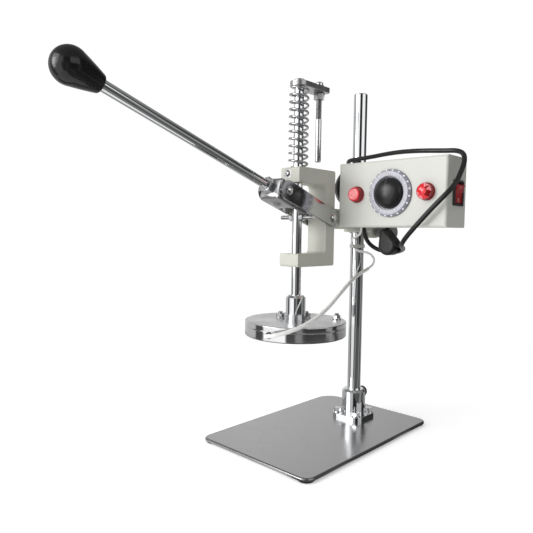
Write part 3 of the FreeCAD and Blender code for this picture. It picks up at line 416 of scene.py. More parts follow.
    # roughness
    rr = node(nt, "ShaderNodeMapRange")
    rr.inputs["From Min"].default_value = 0.25
    rr.inputs["From Max"].default_value = 0.75
    rr.inputs["To Min"].default_value = max(0.0, rough * (1 - rough_var))
    rr.inputs["To Max"].default_value = min(1.0, rough * (1 + rough_var))
    L(mixn.outputs[0], rr.inputs["Value"])
    rough_out = rr.outputs["Result"]
    if smudge > 0:
        sm = node(nt, "ShaderNodeTexNoise")
        sm.inputs["Scale"].default_value = 46.0
        sm.inputs["Detail"].default_value = 7.0
        sm.inputs["Distortion"].default_value = 1.4
        L(tc.outputs["Object"], sm.inputs["Vector"])
        sr = node(nt, "ShaderNodeMapRange")
        sr.inputs["From Min"].default_value = 0.52
        sr.inputs["From Max"].default_value = 0.75
        sr.inputs["To Max"].default_value = smudge
        L(sm.outputs["Fac"], sr.inputs["Value"])
        add = node(nt, "ShaderNodeMath", operation="ADD")
        L(rough_out, add.inputs[0])
        L(sr.outputs["Result"], add.inputs[1])
        rough_out = add.outputs[0]
    L(rough_out, b.inputs["Roughness"])
    # surface
    bump = node(nt, "ShaderNodeBump")
    bump.inputs["Strength"].default_value = 1.0
    bump.inputs["Distance"].default_value = grain_bump / 1000.0
    L(fine.outputs["Fac"], bump.inputs["Height"])
    L(bev.outputs["Normal"], bump.inputs["Normal"])
    last = bump
    if peel > 0:
        pn = node(nt, "ShaderNodeTexNoise")
        pn.inputs["Scale"].default_value = peel_scale
        pn.inputs["Detail"].default_value = 2.0
        L(tc.outputs["Object"], pn.inputs["Vector"])
        pb = node(nt, "ShaderNodeBump")
        pb.inputs["Strength"].default_value = 1.0
        pb.inputs["Distance"].default_value = peel / 1000.0
        L(pn.outputs["Fac"], pb.inputs["Height"])
        L(last.outputs["Normal"], pb.inputs["Normal"])
        last = pb
    if scratches > 0:
        sm2 = node(nt, "ShaderNodeMapping")
        sm2.inputs["Rotation"].default_value = (0.3, 0.9, 0.5)
        sm2.inputs["Scale"].default_value = (1.0, 30.0, 6.0)
        L(tc.outputs["Object"], sm2.inputs["Vector"])
        sn = node(nt, "ShaderNodeTexNoise")
        sn.inputs["Scale"].default_value = 60.0
        sn.inputs["Detail"].default_value = 6.0
        L(sm2.outputs["Vector"], sn.inputs["Vector"])
        sb = node(nt, "ShaderNodeBump")
        sb.inputs["Strength"].default_value = 1.0
        sb.inputs["Distance"].default_value = scratches / 1000.0
        L(sn.outputs["Fac"], sb.inputs["Height"])
        L(last.outputs["Normal"], sb.inputs["Normal"])
        last = sb
    L(last.outputs["Normal"], b.inputs["Normal"])
    return mt


M = {}
M["chrome"] = surface("chrome", (0.80, 0.81, 0.82), 0.05, 1.0, color_var=0.02, rough_var=0.35, blotch=30, grain=1500, grain_bump=0.0006, smudge=0.05)
M["chrome_rod"] = surface("chrome_rod", (0.80, 0.81, 0.82), 0.07, 1.0, color_var=0.02, rough_var=0.3, blotch=30, grain=700, grain_bump=0.0002, stretch=(6, 6, 0.35), smudge=0.05, edge=0.0)
M["mirror"] = surface("mirror_steel", (0.72, 0.72, 0.73), 0.10, 1.0, color_var=0.03, rough_var=0.4, blotch=22, grain=900, grain_bump=0.0012, smudge=0.08, scratches=0.0006)
M["disc_top"] = surface("disc_steel", (0.54, 0.54, 0.55), 0.30, 1.0, color_var=0.03, rough_var=0.4, blotch=24, grain=1000, grain_bump=0.001, smudge=0.08)
M["turned"] = surface("turned_side", (0.80, 0.80, 0.81), 0.08, 1.0, color_var=0.05, rough_var=0.4, blotch=24, grain=420, grain_bump=0.0015, stretch=(0.25, 0.25, 5), smudge=0.05)
M["spring"] = surface("spring_wire", (0.56, 0.56, 0.57), 0.24, 1.0, color_var=0.05, rough_var=0.3, blotch=60, grain=900, grain_bump=0.002, smudge=0.06, edge=0.0)
M["bar"] = surface("bar_steel", (0.52, 0.52, 0.53), 0.36, 1.0, color_var=0.06, rough_var=0.25, blotch=40, grain=700, grain_bump=0.004, stretch=(1, 0.15, 1), edge=0.0005, smudge=0.06)
M["link"] = surface("link_steel", (0.48, 0.48, 0.48), 0.11, 1.0, color_var=0.04, rough_var=0.4, blotch=26, grain=700, grain_bump=0.002, stretch=(1, 0.25, 1), smudge=0.07, edge=0.0004)
M["stainless"] = surface("stainless_sheet", (0.395, 0.395, 0.40), 0.20, 1.0, color_var=0.04, rough_var=0.22, blotch=9, grain=760, grain_bump=0.0018, stretch=(5, 0.12, 5), smudge=0.06, edge=0.0005)
M["steel"] = surface("plain_steel", (0.5, 0.5, 0.5), 0.35, 1.0, blotch=30, grain=700, grain_bump=0.004)
M["zinc"] = surface("zinc_plated", (0.66, 0.66, 0.67), 0.20, 1.0, color_var=0.07, rough_var=0.4, blotch=60, grain=900, grain_bump=0.004, edge=0.0003, smudge=0.1)
M["cast"] = surface("cast_metal", (0.56, 0.56, 0.57), 0.30, 1.0, color_var=0.06, rough_var=0.35, blotch=30, grain=420, grain_bump=0.0010, peel=0.004, peel_scale=70, edge=0.0, smudge=0.06)
M["brass"] = surface("turned_brass", (0.72, 0.56, 0.28), 0.25, 1.0, blotch=40, grain=800, grain_bump=0.003)
M["black_steel"] = surface("blackened_steel", (0.035, 0.035, 0.037), 0.42, 0.7, color_var=0.3, blotch=60, grain=700, grain_bump=0.01, wear=0.5, wear_color=(0.3, 0.3, 0.3))
M["paint"] = surface("casting_paint", (0.56, 0.56, 0.50), 0.45, 0.0, color_var=0.035, rough_var=0.2, blotch=22, grain=650, grain_bump=0.006, peel=0.035, peel_scale=330, wear=0.35, wear_color=(0.72, 0.72, 0.67), wear_width=0.0007, edge=0.0008)
M["box_paint"] = surface("box_powder_coat", (0.64, 0.645, 0.60), 0.46, 0.0, color_var=0.02, rough_var=0.2, blotch=16, grain=1200, grain_bump=0.006, peel=0.02, peel_scale=900, wear=0.25, wear_color=(0.8, 0.8, 0.77), wear_width=0.0006, edge=0.0007)
M["rubber"] = surface("rubber", (0.018, 0.018, 0.018), 0.62, 0.0, color_var=0.2, blotch=50, grain=600, grain_bump=0.02)
M["black_knob"] = surface("glossy_black", (0.012, 0.012, 0.013), 0.16, 0.0, color_var=0.25, rough_var=0.3, blotch=40, grain=900, grain_bump=0.001, smudge=0.04, spec=0.45)
M["dial_knob"] = surface("satin_black", (0.014, 0.014, 0.015), 0.30, 0.0, color_var=0.25, rough_var=0.3, blotch=40, grain=900, grain_bump=0.004, smudge=0.12, spec=0.5)
M["dark_plastic"] = surface("dark_plastic", (0.02, 0.02, 0.021), 0.42, 0.0, color_var=0.2, blotch=50, grain=900, grain_bump=0.01)
M["cord"] = surface("black_vinyl", (0.012, 0.012, 0.012), 0.33, 0.0, color_var=0.25, rough_var=0.25, blotch=60, grain=1000, grain_bump=0.006, smudge=0.1, spec=0.5)
M["plug"] = surface("moulded_vinyl", (0.013, 0.013, 0.013), 0.40, 0.0, color_var=0.25, blotch=60, grain=1100, grain_bump=0.01, smudge=0.08)
M["white_lead"] = surface("white_sleeve", (0.84, 0.84, 0.82), 0.5, 0.0, color_var=0.05, blotch=60, grain=1400, grain_bump=0.03)
M["white_wire"] = surface("white_wire", (0.82, 0.82, 0.80), 0.34, 0.0, color_var=0.04, blotch=60, grain=1200, grain_bump=0.008)
M["white_plastic"] = surface("white_plastic", (0.75, 0.75, 0.71), 0.4, 0.0, color_var=0.04, blotch=60, grain=900, grain_bump=0.006)
M["clear_plastic"] = surface("clear_nylon", (0.78, 0.78, 0.76), 0.22, 0.0, color_var=0.04, blotch=60, grain=900, grain_bump=0.004, transmission=0.35, ior=1.5)
# Lamp lenses in three reds of one lens: a darker red, a mid red, and a bright pink whose blotches stand for streaks of
# light. The bright pink is painted highlight, and the emission on all three is painted glow.
M["red_side"] = surface("red_lens_side", (0.22, 0.003, 0.006), 0.16, 0.0, color_var=0.12, blotch=70, grain=900, grain_bump=0.002, coat=0.15, spec=0.35, emission=(0.5, 0.004, 0.01), emission_strength=0.04, subsurface=0.2)
M["red_face"] = surface("red_lens_face", (0.62, 0.02, 0.03), 0.16, 0.0, color_var=0.3, blotch=200, grain=700, grain_bump=0.01, coat=0.3, spec=0.4, emission=(1.0, 0.05, 0.07), emission_strength=0.14, subsurface=0.2)
M["red_glow"] = surface("red_lens_painted_highlight", (0.86, 0.24, 0.25), 0.14, 0.0, color_var=0.6, blotch=260, grain=600, grain_bump=0.015, coat=0.4, emission=(1.0, 0.18, 0.19), emission_strength=0.26, subsurface=0.2)
# The rocker's faint red emission is painted glow.
M["red_plastic"] = surface("red_rocker_painted_glow", (0.30, 0.004, 0.006), 0.34, 0.0, color_var=0.08, blotch=70, grain=900, grain_bump=0.003, spec=0.3, coat=0.0, emission=(0.5, 0.01, 0.01), emission_strength=0.05)
M["mark"] = surface("white_mark", (0.80, 0.70, 0.68), 0.5, 0.0, color_var=0.05, blotch=90, grain=900, grain_bump=0.002)
M["dial_clear"] = surface("dial_clear", (0.43, 0.43, 0.48), 0.28, 0.0, color_var=0.14, rough_var=0.4, blotch=190, grain=420, grain_bump=0.02, coat=0.25, coat_rough=0.15, smudge=0.1)
# The white dots of the dial are print; their emission is painted glow.
M["dial_mark_painted_glow"] = surface("dial_mark_painted_glow", (0.90, 0.90, 0.94), 0.25, 0.0, color_var=0.05, blotch=150, grain=900, grain_bump=0.002, coat=0.3, emission=(0.9, 0.9, 1.0), emission_strength=0.25)
M["dial_dark"] = surface("dial_dark", (0.20, 0.20, 0.23), 0.25, 0.3, color_var=0.1, blotch=150, grain=900, grain_bump=0.002, coat=0.4)
M["dial_band"] = surface("dial_band", (0.33, 0.33, 0.38), 0.22, 0.15, color_var=0.10, rough_var=0.5, blotch=150, grain=420, grain_bump=0.01, coat=0.7, smudge=0.1)
M["pointer"] = surface("pointer_line", (0.07, 0.07, 0.07), 0.4, 0.0, color_var=0.08, blotch=150, grain=900, grain_bump=0.004)
M["thread_steel"] = surface("thread_steel", (0.50, 0.50, 0.51), 0.26, 1.0, color_var=0.10, rough_var=0.3, blotch=60, grain=900, grain_bump=0.003, edge=0.0)
M["grey_knob"] = surface("grey_knob", (0.20, 0.20, 0.19), 0.5, 0.0, color_var=0.08, blotch=60, grain=700, grain_bump=0.02)
M["element"] = surface("mica_strip", (0.40, 0.36, 0.30), 0.45, 0.5, color_var=0.15, blotch=80, grain=700, grain_bump=0.02)

SLOT_MAT = {
    "stainless": "stainless", "steel": "steel", "rubber": "rubber", "zinc": "zinc", "chrome": "chrome", "black_steel": "black_steel", "brass": "brass",
    "paint": "paint", "box_paint": "box_paint", "clear_dial": "dial_clear", "dark_plastic": "dark_plastic", "red_lens": "red_side",
    "white_plastic": "white_plastic", "black_cord": "cord", "clear_plastic": "clear_plastic", "white_lead": "white_lead", "mirror_steel": "mirror",
    "element": "element", "cast_metal": "cast", "black_knob": "black_knob", "red_plastic": "red_plastic", "grey_knob": "grey_knob",
}
SLOT = {s["node"]: s["material_slot"] for s in frame["record"]["subparts"]}


def paint_node(name, mat):
    o = NODE[name]
    o.data.materials.clear()
    o.data.materials.append(mat)


for name in NODE:
    paint_node(name, M[SLOT_MAT[SLOT[name]]])
for name in ("column", "ram_rod", "handle_rod", "stop_bolt"):
    paint_node(name, M["chrome_rod"])
for name in ("link_left", "link_right"):
    paint_node(name, M["link"])
paint_node("temperature_knob", M["dial_knob"])
paint_node("crossbar", M["bar"])
paint_node("plug_body", M["plug"])


def piece(o, body, mat, *nodes, slot=None):
    if mat is not None:
        o.data.materials.clear()
        o.data.materials.append(mat)
    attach(o, body)
    if nodes:
        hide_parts(*nodes)
    return o


# ------------------------------------------------------------------ mains cord
CORD_D = 6.0
GX, GY, GZ = 96.0, 4.5, 322.0
CCX, CCZ, CR = -27.5, 349.4, 27.0
CY0, CY1 = 14.8, 41.6
CORD_A = [(GX, GY - 14.0, GZ), (GX, GY, GZ), (96.2, GY + 12.0, 322.0), (91.2, 28.6, 321.4), (81.0, 38.4, 319.8), (67.0, 44.2, 317.6),
          (49.0, 45.6, 315.4), (27.5, 44.2, 314.6), (8.0, 41.8, 316.0), (-8.0, 39.8, 319.2)]
CORD_B = [(-27.5, 13.2, 379.2), (-20.2, 4.5, 382.6), (-16.2, -6.0, 385.2), (-7.0, -15.2, 387.0),
          (14.5, -18.2, 387.4), (36.0, -20.0, 388.2), (60.0, -26.0, 389.0), (85.0, -32.5, 388.8), (110.0, -37.5, 387.4),
          (133.0, -39.5, 385.4), (153.0, -38.0, 383.6), (168.0, -38.5, 382.6), (179.5, -43.5, 377.5), (185.0, -53.0, 366.0), (184.6, -63.0, 351.5),
          (184.0, -74.5, 338.0), (177.0, -84.0, 325.5), (165.0, -86.5, 313.0), (151.5, -86.0, 299.5), (138.0, -85.0, 286.0),
          (125.5, -82.5, 273.5), (115.5, -73.0, 265.8), (105.5, -55.0, 262.6), (96.0, -33.0, 260.0), (84.0, -13.5, 256.6), (67.0, -4.0, 253.0),
          (48.0, -5.0, 253.6), (35.0, -11.0, 259.0), (27.5, -18.0, 269.5), (23.5, -19.5, 284.5), (21.0, -17.0, 301.5), (21.6, -16.8, 319.5), (27.5, -16.8, 336.5), (40.0, -17.0, 349.0),
          (57.0, -17.2, 351.5), (71.0, -17.6, 342.0), (76.8, -18.0, 326.0), (74.5, -18.8, 309.5), (67.0, -19.6, 296.0), (61.0, -20.0, 283.0)]
COIL = []
STEPS, SWEEP = 56, 1240.0
for k in range(STEPS + 1):
    f = k / STEPS
    a = math.radians(-90.0 - SWEEP * f)
    rr = CR / math.cos(math.radians(SWEEP / STEPS / 2)) ** 0.6
    COIL.append((CCX + rr * math.cos(a), (CY1 - 3.0) + ((CY0 + 3.0) - (CY1 - 3.0)) * f, CCZ + rr * math.sin(a)))
cu = bpy.data.curves.new("mains_cord", "CURVE")
cu.dimensions = "3D"
cu.resolution_u = 8
cu.bevel_depth = CORD_D / 2000.0
cu.bevel_resolution = 6
cu.use_fill_caps = True
pts = [P(*p) for p in CORD_A + COIL + CORD_B]
sp = cu.splines.new("NURBS")
sp.points.add(len(pts) - 1)
for q, p in zip(sp.points, pts):
    q.co = (*p, 1.0)
sp.order_u = 3
sp.use_endpoint_u = True
cord = link("mains_cord", cu)
cu.materials.append(M["cord"])
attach(cord, "head")
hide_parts("power_cord", "cord_coil")

# ------------------------------------------------------------------ heater lead: wire all the way, sleeve over its lower half
LH = math.radians(-78.5)
LEAD = [
    (math.cos(LH) * 61.2, RY + math.sin(LH) * 61.2, 152.2), (math.cos(LH) * 75.0, RY + math.sin(LH) * 75.0, 152.5),
    (24.5, -221.5, 154.4), (38.0, -215.5, 157.6), (48.5, -203.5, 162.4), (54.5, -186.0, 168.4), (55.5, -164.0, 175.4),
    (51.5, -138.0, 184.4), (44.5, -109.0, 195.4), (37.0, -80.0, 206.0), (30.5, -53.0, 215.4), (27.2, -31.0, 221.8),
    (28.2, -13.5, 227.2), (30.6, -1.0, 234.6), (30.0, 0.0, 244.4), (23.5, -5.0, 250.6), (14.5, -10.4, 252.6),
    (7.0, -13.6, 255.0), (2.9, -15.2, 260.2), (2.6, -16.8, 267.0), (7.5, -22.2, 271.6), (16.0, -29.8, 273.8), (26.0, -37.4, 275.6),
    (35.2, -43.6, 280.0), (36.0, -44.0, 290.0)]
lead_line = spline_points([P(*p) for p in LEAD], 3, 14)


def lead_piece(name, line, radius, mat):
    o = bridge_tube(name, line, radius, 20)
    o.data.materials.append(mat)
    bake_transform(o)
    return o


wire = lead_piece("lead_wire", lead_line, 0.0016, M["white_wire"])
cut = min(range(len(lead_line)), key=lambda i: (lead_line[i] - P(28.2, -12.0, 227.8)).length)
low = lead_line[: cut + 1]
rad = [0.0024 + 0.00006 * math.sin(i * 2.1) for i in range(len(low))]
sleeve = lead_piece("lead_sleeve", low, rad, M["white_lead"])
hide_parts("heater_lead")

# ------------------------------------------------------------------ return spring
SP_R, SP_W, SP_Z0, SP_Z1 = 11.85, 3.0, 363.2, 467.0
turns, per = 10.75, 40
line = []
nn = int(turns * per)
for i in range(nn + 1):
    f = i / nn
    a = 2 * math.pi * turns * f
    z = SP_Z0 + SP_W / 2 + (SP_Z1 - SP_Z0 - SP_W) * f
    line.append(P(-SP_R * math.cos(a), RY + SP_R * math.sin(a), z))
spring = bridge_tube("return_spring_wire", line, SP_W / 2000.0, 16)
piece(spring, "head", M["spring"], "return_spring")
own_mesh(spring)

# ------------------------------------------------------------------ small helpers for details
def blocks(name, items):
    """little bars; each item is centre and three half vectors in metres"""
    verts, faces = [], []
    for c, a, b, n in items:
        s = len(verts)
        for i in (-1, 1):
            for j in (-1, 1):
                for k in (-1, 1):
                    verts.append(c + a * i + b * j + n * k)
        for f in ((0, 1, 3, 2), (4, 6, 7, 5), (0, 4, 5, 1), (2, 3, 7, 6), (0, 2, 6, 4), (1, 5, 7, 3)):
            faces.append(tuple(s + q for q in f))
    return mesh_from(name, verts, faces)


def hexpiece(name, base, axis, af, h, turn=0.0, both=True):
    """hexagon head or nut with turned-off corners"""
    rc, r0 = af / math.sqrt(3), af / 2 * 0.965
    drop = (rc - r0) / 1.75
    pf = [(0.0, 0.0)]
    pf += [(drop * k / 6, r0 + (rc - r0) * k / 6) for k in range(7)] if both else [(0.0, rc)]
    pf += [(h - drop * (1 - k / 6), rc - (rc - r0) * k / 6) for k in range(7)] + [(h, 0.0)]
    t0 = math.radians(turn)

    def wob(d, r, t):
        return min(r, af / 2 / math.cos(((t - t0) % (math.pi / 3)) - math.pi / 6))

    return lathe(name, pf, base, axis, 180, 24, wob)


def by_depth(o, base, axis, rule, mats):
    """material per face from its depth and radius in mm, seen from base along axis"""
    a = Vector(axis).normalized()
    b = P(*base)
    for mt in mats:
        o.data.materials.append(mt)
    for f in o.data.polygons:
        v = f.center - b
        d = v.dot(a)
        f.material_index = rule(d * 1000, (v - a * d).length * 1000)
    return o


# ------------------------------------------------------------------ lever: pear knob and lock nut
P1Y, P1Z = RY - 40.3, 330.6
TL = math.radians(18.61)
HU = Vector((0.0, -math.cos(TL), math.sin(TL)))
HV = Vector((0.0, math.sin(TL), math.cos(TL)))


def hp(u, w=0.0, x=0.0):
    """point u mm along the lever from the front pivot, w mm above its line"""
    return (x, P1Y + HU.y * u + HV.y * w, P1Z + HU.z * u + HV.z * w)


NECK, BALL, SLOPE = 32.0, 17.75, math.radians(16.2)
prof = [(0.0, 0.0), (0.0, 7.3), (0.12, 8.1), (0.45, 8.8), (0.95, 9.3), (1.6, 9.66)]
d1, r1 = NECK - BALL * math.sin(SLOPE), BALL * math.cos(SLOPE)
prof += [(1.6 + (d1 - 1.6) * k / 16, 9.66 + (r1 - 9.66) * k / 16 + 0.22 * math.sin(math.pi * k / 16)) for k in range(1, 17)]
prof += [(NECK + BALL * math.cos(a), BALL * math.sin(a)) for a in [(math.pi / 2 + SLOPE) * (1 - k / 36) for k in range(1, 36)]] + [(NECK + BALL, 0.0)]
piece(lathe("pear_knob", prof, hp(287.6 - NECK), HU, 112, 50), "lever", M["black_knob"], "handle_knob")
piece(hexpiece("lever_lock_nut", hp(13.55), HU, 18.2, 9.4, 12.0), "lever", M["zinc"], "handle_lock_nut")

# ------------------------------------------------------------------ stop bolt with its thread, cap and nut
SX, SY = 0.0, RY + 41.5
shaft = lathe("stop_shaft", [(0, 0), (0, 2.7), (0.35, 3.35), (1.1, 3.9), (1.6, 4.0), (57.6, 4.0), (58.4, 3.35), (58.4, 0)], (SX, SY, 374.6), (0, 0, 1), 64)
tip_thread = thread("stop_thread", (SX, SY, 432.6), (0, 0, 1), 42.0, 3.98, 1.25, 0.72)
cap_hex = hexpiece("stop_hex", (SX, SY, 474.05), (0, 0, 1), 12.0, 3.2, 15.0)
cap = lathe("stop_cap", [(0, 0), (0, 5.4)] + [(2.4 * k / 6, 5.4 + 0.0 * k) for k in range(1, 7)] +
            [(2.4 + 3.2 * math.sin(math.radians(a)), 5.4 * math.cos(math.radians(a)) + 0.0) for a in range(6, 90, 6)] + [(5.6, 0)], (SX, SY, 477.0), (0, 0, 1), 72, 40)
for o, mt in ((shaft, "chrome_rod"), (tip_thread, "thread_steel"), (cap_hex, "zinc"), (cap, "chrome")):
    o.data.materials.append(M[mt])
piece(join("stop_bolt_threaded", [shaft, tip_thread, cap_hex, cap]), "ram", None, "stop_bolt")
piece(hexpiece("stop_lock_nut", (SX, SY, 458.0), (0, 0, 1), 13.0, 9.0, 22.0), "ram", M["zinc"], "stop_bolt_nut")

# ------------------------------------------------------------------ studs and nuts of the disc
parts = []
for k, (x, y) in enumerate(((-28.3, 1.5), (-4.5, 28.5), (35.2, 44.3))):
    w = lathe("disc_washer", [(0, 0), (0, 5.9), (0.8, 5.9), (1.0, 5.7), (1.0, 0)], (x, RY + y, 163.2), (0, 0, 1), 64)
    h = hexpiece("disc_hex", (x, RY + y, 164.2), (0, 0, 1), 10.0, 4.6, 17.0 * k)
    s = thread("disc_stud", (x, RY + y, 150.2), (0, 0, 1), 21.2, 3.0, 1.0, 0.5)
    for o in (w, h):
        o.data.materials.append(M["zinc"])
    s.data.materials.append(M["thread_steel"])
    parts += [w, h, s]
piece(join("disc_fixings", parts), "ram", None, "disc_bolts")

# ------------------------------------------------------------------ cover of the disc, faced on top and turned round its side
cpf = rounded([(0, 0), (0, 66.85), (0.25, 67.0), (6.7, 67.0), (7.3, 66.4), (7.3, 0)], [0, 0.1, 0.1, 0.35, 0.35, 0], 3)
cover = lathe("disc_top_plate", cpf, (0, RY, 155.9), (0, 0, 1), 220, 30)
by_depth(cover, (0, RY, 155.9), (0, 0, 1), lambda d, r: 1 if d > 7.2 else 0, [M["turned"], M["disc_top"]])
piece(cover, "ram", None, "disc_cover")
paint_node("heated_disc", M["turned"])
paint_node("lead_bush", M["rubber"])


# ------------------------------------------------------------------ yoke: the same casting with its edges run soft
def soften(name, src, voxel, rounds):
    me = src.data.copy()
    me.transform(src.matrix_world)
    o = link(name, me)
    rm = o.modifiers.new("skin", "REMESH")
    rm.mode = "VOXEL"
    rm.voxel_size = voxel
    sm = o.modifiers.new("soft", "SMOOTH")
    sm.factor = 0.5
    sm.iterations = rounds
    bpy.context.view_layer.update()
    out = bpy.data.meshes.new_from_object(o.evaluated_get(bpy.context.evaluated_depsgraph_get()))
    o.modifiers.clear()
    o.data = out
    bpy.data.meshes.remove(me)
    out.shade_smooth()
    out.set_sharp_from_angle(angle=math.radians(75))
    return o


yoke = soften("yoke_casting", NODE["yoke"], 0.0008, 60)
# round boss under the web, over the end of the lever rod
yc = P(0.5, RY - 40.0, 314.9)
for v in yoke.data.vertices:
    d = v.co - yc
    if abs(d.dot(HV)) < 0.0035 and v.normal.dot(HV) < -0.5:
        v.co -= HV * (0.0034 * math.exp(-0.5 * ((d.x / 0.0052) ** 2 + (d.dot(HU) / 0.0065) ** 2)))
yoke.data.update()
piece(yoke, "lever", M["cast"], "yoke")

# ------------------------------------------------------------------ temperature dial and knob
DX, BY0, DZ = 99.0, -75.8, 330.6
FRONT = Vector((0, -1, 0))
dpf = rounded([(0, 5.2), (0, 30.6), (1.6, 30.6), (5.2, 27.4), (5.2, 21.4), (1.6, 21.4), (1.6, 5.2), (0, 5.2)], [0, 0.15, 0.5, 0.5, 0.4, 0.2, 0.1, 0], 3)
dial = lathe("dial_bezel", dpf, (DX, BY0, DZ), FRONT, 144)
by_depth(dial, (DX, BY0, DZ), FRONT, lambda d, r: 1 if 1.9 < d < 5.0 and r > 27.6 else (2 if d < 1.9 and r > 30 else 0), [M["dial_clear"], M["dial_band"], M["dial_dark"]])
piece(dial, "head", None, "dial_ring")
dots = []
for k in range(20):
    a = math.radians(18 * k + 9)
    rad = Vector((math.cos(a), 0, math.sin(a)))
    ax = (FRONT * 0.664 + rad * 0.747).normalized()
    b = Vector((DX, BY0, DZ)) + FRONT * 3.38 + rad * 29.02
    dots.append(lathe("dot", [(-0.3, 0), (-0.3, 1.25), (0.08, 1.2), (0.30, 0.95), (0.44, 0.5), (0.48, 0)], b, ax, 14, 40))
for o in dots:
    o.data.materials.append(M["dial_mark_painted_glow"])
piece(join("dial_dots", dots), "head", None, slot="clear_dial")
bars = []
for k in range(41):
    a = math.radians(90 + 150 - 7.5 * k)
    rad = Vector((math.cos(a), 0, math.sin(a)))
    tan = Vector((-math.sin(a), 0, math.cos(a)))
    big = k % 5 == 0
    r0, r1 = (22.3, 26.6) if big else (23.8, 26.6)
    c = P(DX, BY0, DZ) + rad * ((r0 + r1) / 2000) + FRONT * 0.00522
    bars.append((c, rad * ((r1 - r0) / 2000), tan * (0.00030 if big else 0.00014), FRONT * 0.00006))
piece(blocks("dial_ticks", bars), "head", M["dial_dark"], slot="clear_dial")

kpf = rounded([(0, 0), (0, 19.1), (0.6, 19.8), (2.4, 19.7), (4.8, 19.0), (7.2, 17.5), (9.4, 15.0), (11.2, 11.7), (12.4, 7.9), (13.0, 3.8), (13.2, 0)],
              [0, 0.25, 0.4, 1.1, 1.3, 1.4, 1.5, 1.7, 1.9, 1.9, 0], 4)
KB = (DX, BY0 - 2.1, DZ)
piece(lathe("temperature_cap", kpf, KB, FRONT, 144, 50), "temperature_control", M["dial_knob"], "temperature_knob")
run = [(d, r) for d, r in kpf if d > 3.0 and 9.0 < r < 19.3]
verts, faces = [], []
for i, (d, r) in enumerate(run):
    d0, r0 = run[max(i - 1, 0)]
    d1, r1 = run[min(i + 1, len(run) - 1)]
    n = Vector((-(r1 - r0), 0, (d1 - d0)))
    n = (FRONT * n.x + Vector((0, 0, 1)) * n.z).normalized()
    c = P(*KB) + FRONT * (d / 1000) + Vector((0, 0, r / 1000))
    for off in (0.00010, -0.0004):
        for sgn in (-1, 1):
            verts.append(c + n * off + Vector((0.00055 * sgn, 0, 0)))
for i in range(len(run) - 1):
    a, b = 4 * i, 4 * i + 4
    faces += [(a, a + 1, b + 1, b), (a + 2, b + 2, b + 3, a + 3), (a, b, b + 2, a + 2), (a + 1, a + 3, b + 3, b + 1)]
faces += [(0, 2, 3, 1), (len(verts) - 4, len(verts) - 3, len(verts) - 1, len(verts) - 2)]
piece(mesh_from("temperature_pointer", verts, faces, 60), "temperature_control", M["pointer"], slot="black_knob")

# ------------------------------------------------------------------ lamps
LB = (DX - 50.0, BY0, DZ)
face_pf = [(9.32 + 0.16 * (k % 2), 7.6 - 0.6 * k) for k in range(12)]
lpf = rounded([(0, 0), (0, 11.0), (1.2, 11.0), (1.7, 9.6), (8.0, 9.3), (9.2, 8.2)] + face_pf + [(9.4, 0)], [0, 0.2, 0.4, 0.3, 0.7, 0.5] + [0.08] * 12 + [0], 3)
lens = lathe("lamp_left", lpf, LB, FRONT, 96, 40)
# The centre of the face takes the bright pink as painted highlight and painted glow, a ring takes the mid red, and the
# rim and sides take the darker red.
by_depth(lens, LB, FRONT, lambda d, r: 2 if d > 8.9 and r < 7.0 else (1 if d > 8.4 and r < 8.9 else 0), [M["red_side"], M["red_face"], M["red_glow"]])
piece(lens, "head", None, "lamp_lens_left")
RB = (DX + 50.0, BY0, DZ)
rpf = rounded([(0, 0), (0, 11.0), (1.2, 11.0), (1.7, 9.9), (7.62, 9.9), (7.62, 0)], [0, 0.2, 0.4, 0.3, 0.1, 0], 3)
barrel = lathe("lamp_barrel", rpf, RB, FRONT, 96, 30)
barrel.data.materials.append(M["red_side"])
verts, faces, kinds = [], [], []
c0 = P(*RB)
for k in range(8):
    a = 2 * math.pi * k / 8
    verts.append(c0 + FRONT * 0.0076 + Vector((math.cos(a), 0, math.sin(a))) * 0.00985)
for k in range(8):
    a = 2 * math.pi * (k + 0.5) / 8
    verts.append(c0 + FRONT * 0.0114 + Vector((math.cos(a), 0, math.sin(a))) * 0.0050)
verts.append(c0 + FRONT * 0.0118)
verts.append(c0 + FRONT * 0.0070)
for k in range(8):
    j = (k + 1) % 8
    faces += [(k, j, 8 + k), (j, 8 + j, 8 + k), (8 + k, 8 + j, 16), (j, k, 17)]
crown = mesh_from("lamp_crown", verts, faces, 8)
for mt in (M["red_glow"], M["red_face"], M["red_side"]):
    crown.data.materials.append(mt)
# Crown facets are coloured by the way they face. Some take the bright pink as painted highlight, and those facing right
# take the darker red as painted shade.
for f in crown.data.polygons:
    v = f.center - c0
    if v.length > 0.0114 and (v - FRONT * v.dot(FRONT)).length < 0.0045:
        f.material_index = 0 if (f.normal.x < -0.03 and f.normal.z > 0) else 1
    else:
        f.material_index = 0 if len([1 for i in f.vertices if i < 8]) == 2 and f.normal.x * f.normal.z > 0.05 else (1 if f.normal.x < 0.3 else 2)
piece(join("lamp_right", [barrel, crown]), "head", None, "lamp_lens_right")

# ------------------------------------------------------------------ marks on the rocker
RKX, ROCK_Y, ROCK_Z, ROCK_T = 171.8, -47.1, 329.2, math.radians(9.0)


def rk(x, y, z):
    return (RKX + x * math.cos(ROCK_T) + z * math.sin(ROCK_T), ROCK_Y + y, ROCK_Z - x * math.sin(ROCK_T) + z * math.cos(ROCK_T))


def rk_dir(x, y, z):
    return Vector((x * math.cos(ROCK_T) + z * math.sin(ROCK_T), y, -x * math.sin(ROCK_T) + z * math.cos(ROCK_T)))


ring_mark = lathe("mark_off", [(-0.15, 1.75), (-0.15, 2.35), (0.08, 2.35), (0.08, 1.75), (-0.15, 1.75)], rk(5.67, 0, -7.7), rk_dir(0.969, 0, 0.246), 40)
bar_mark = blocks("mark_on", [(P(*rk(5.67, 0, 7.7)), rk_dir(0.969, 0, -0.246) * 0.00010, Vector((0, 0.00030, 0)), rk_dir(0.246, 0, 0.969) * 0.0021)])
for o in (ring_mark, bar_mark):
    o.data.materials.append(M["mark"])
piece(join("rocker_marks", [ring_mark, bar_mark]), "power_switch", None, slot="red_plastic")

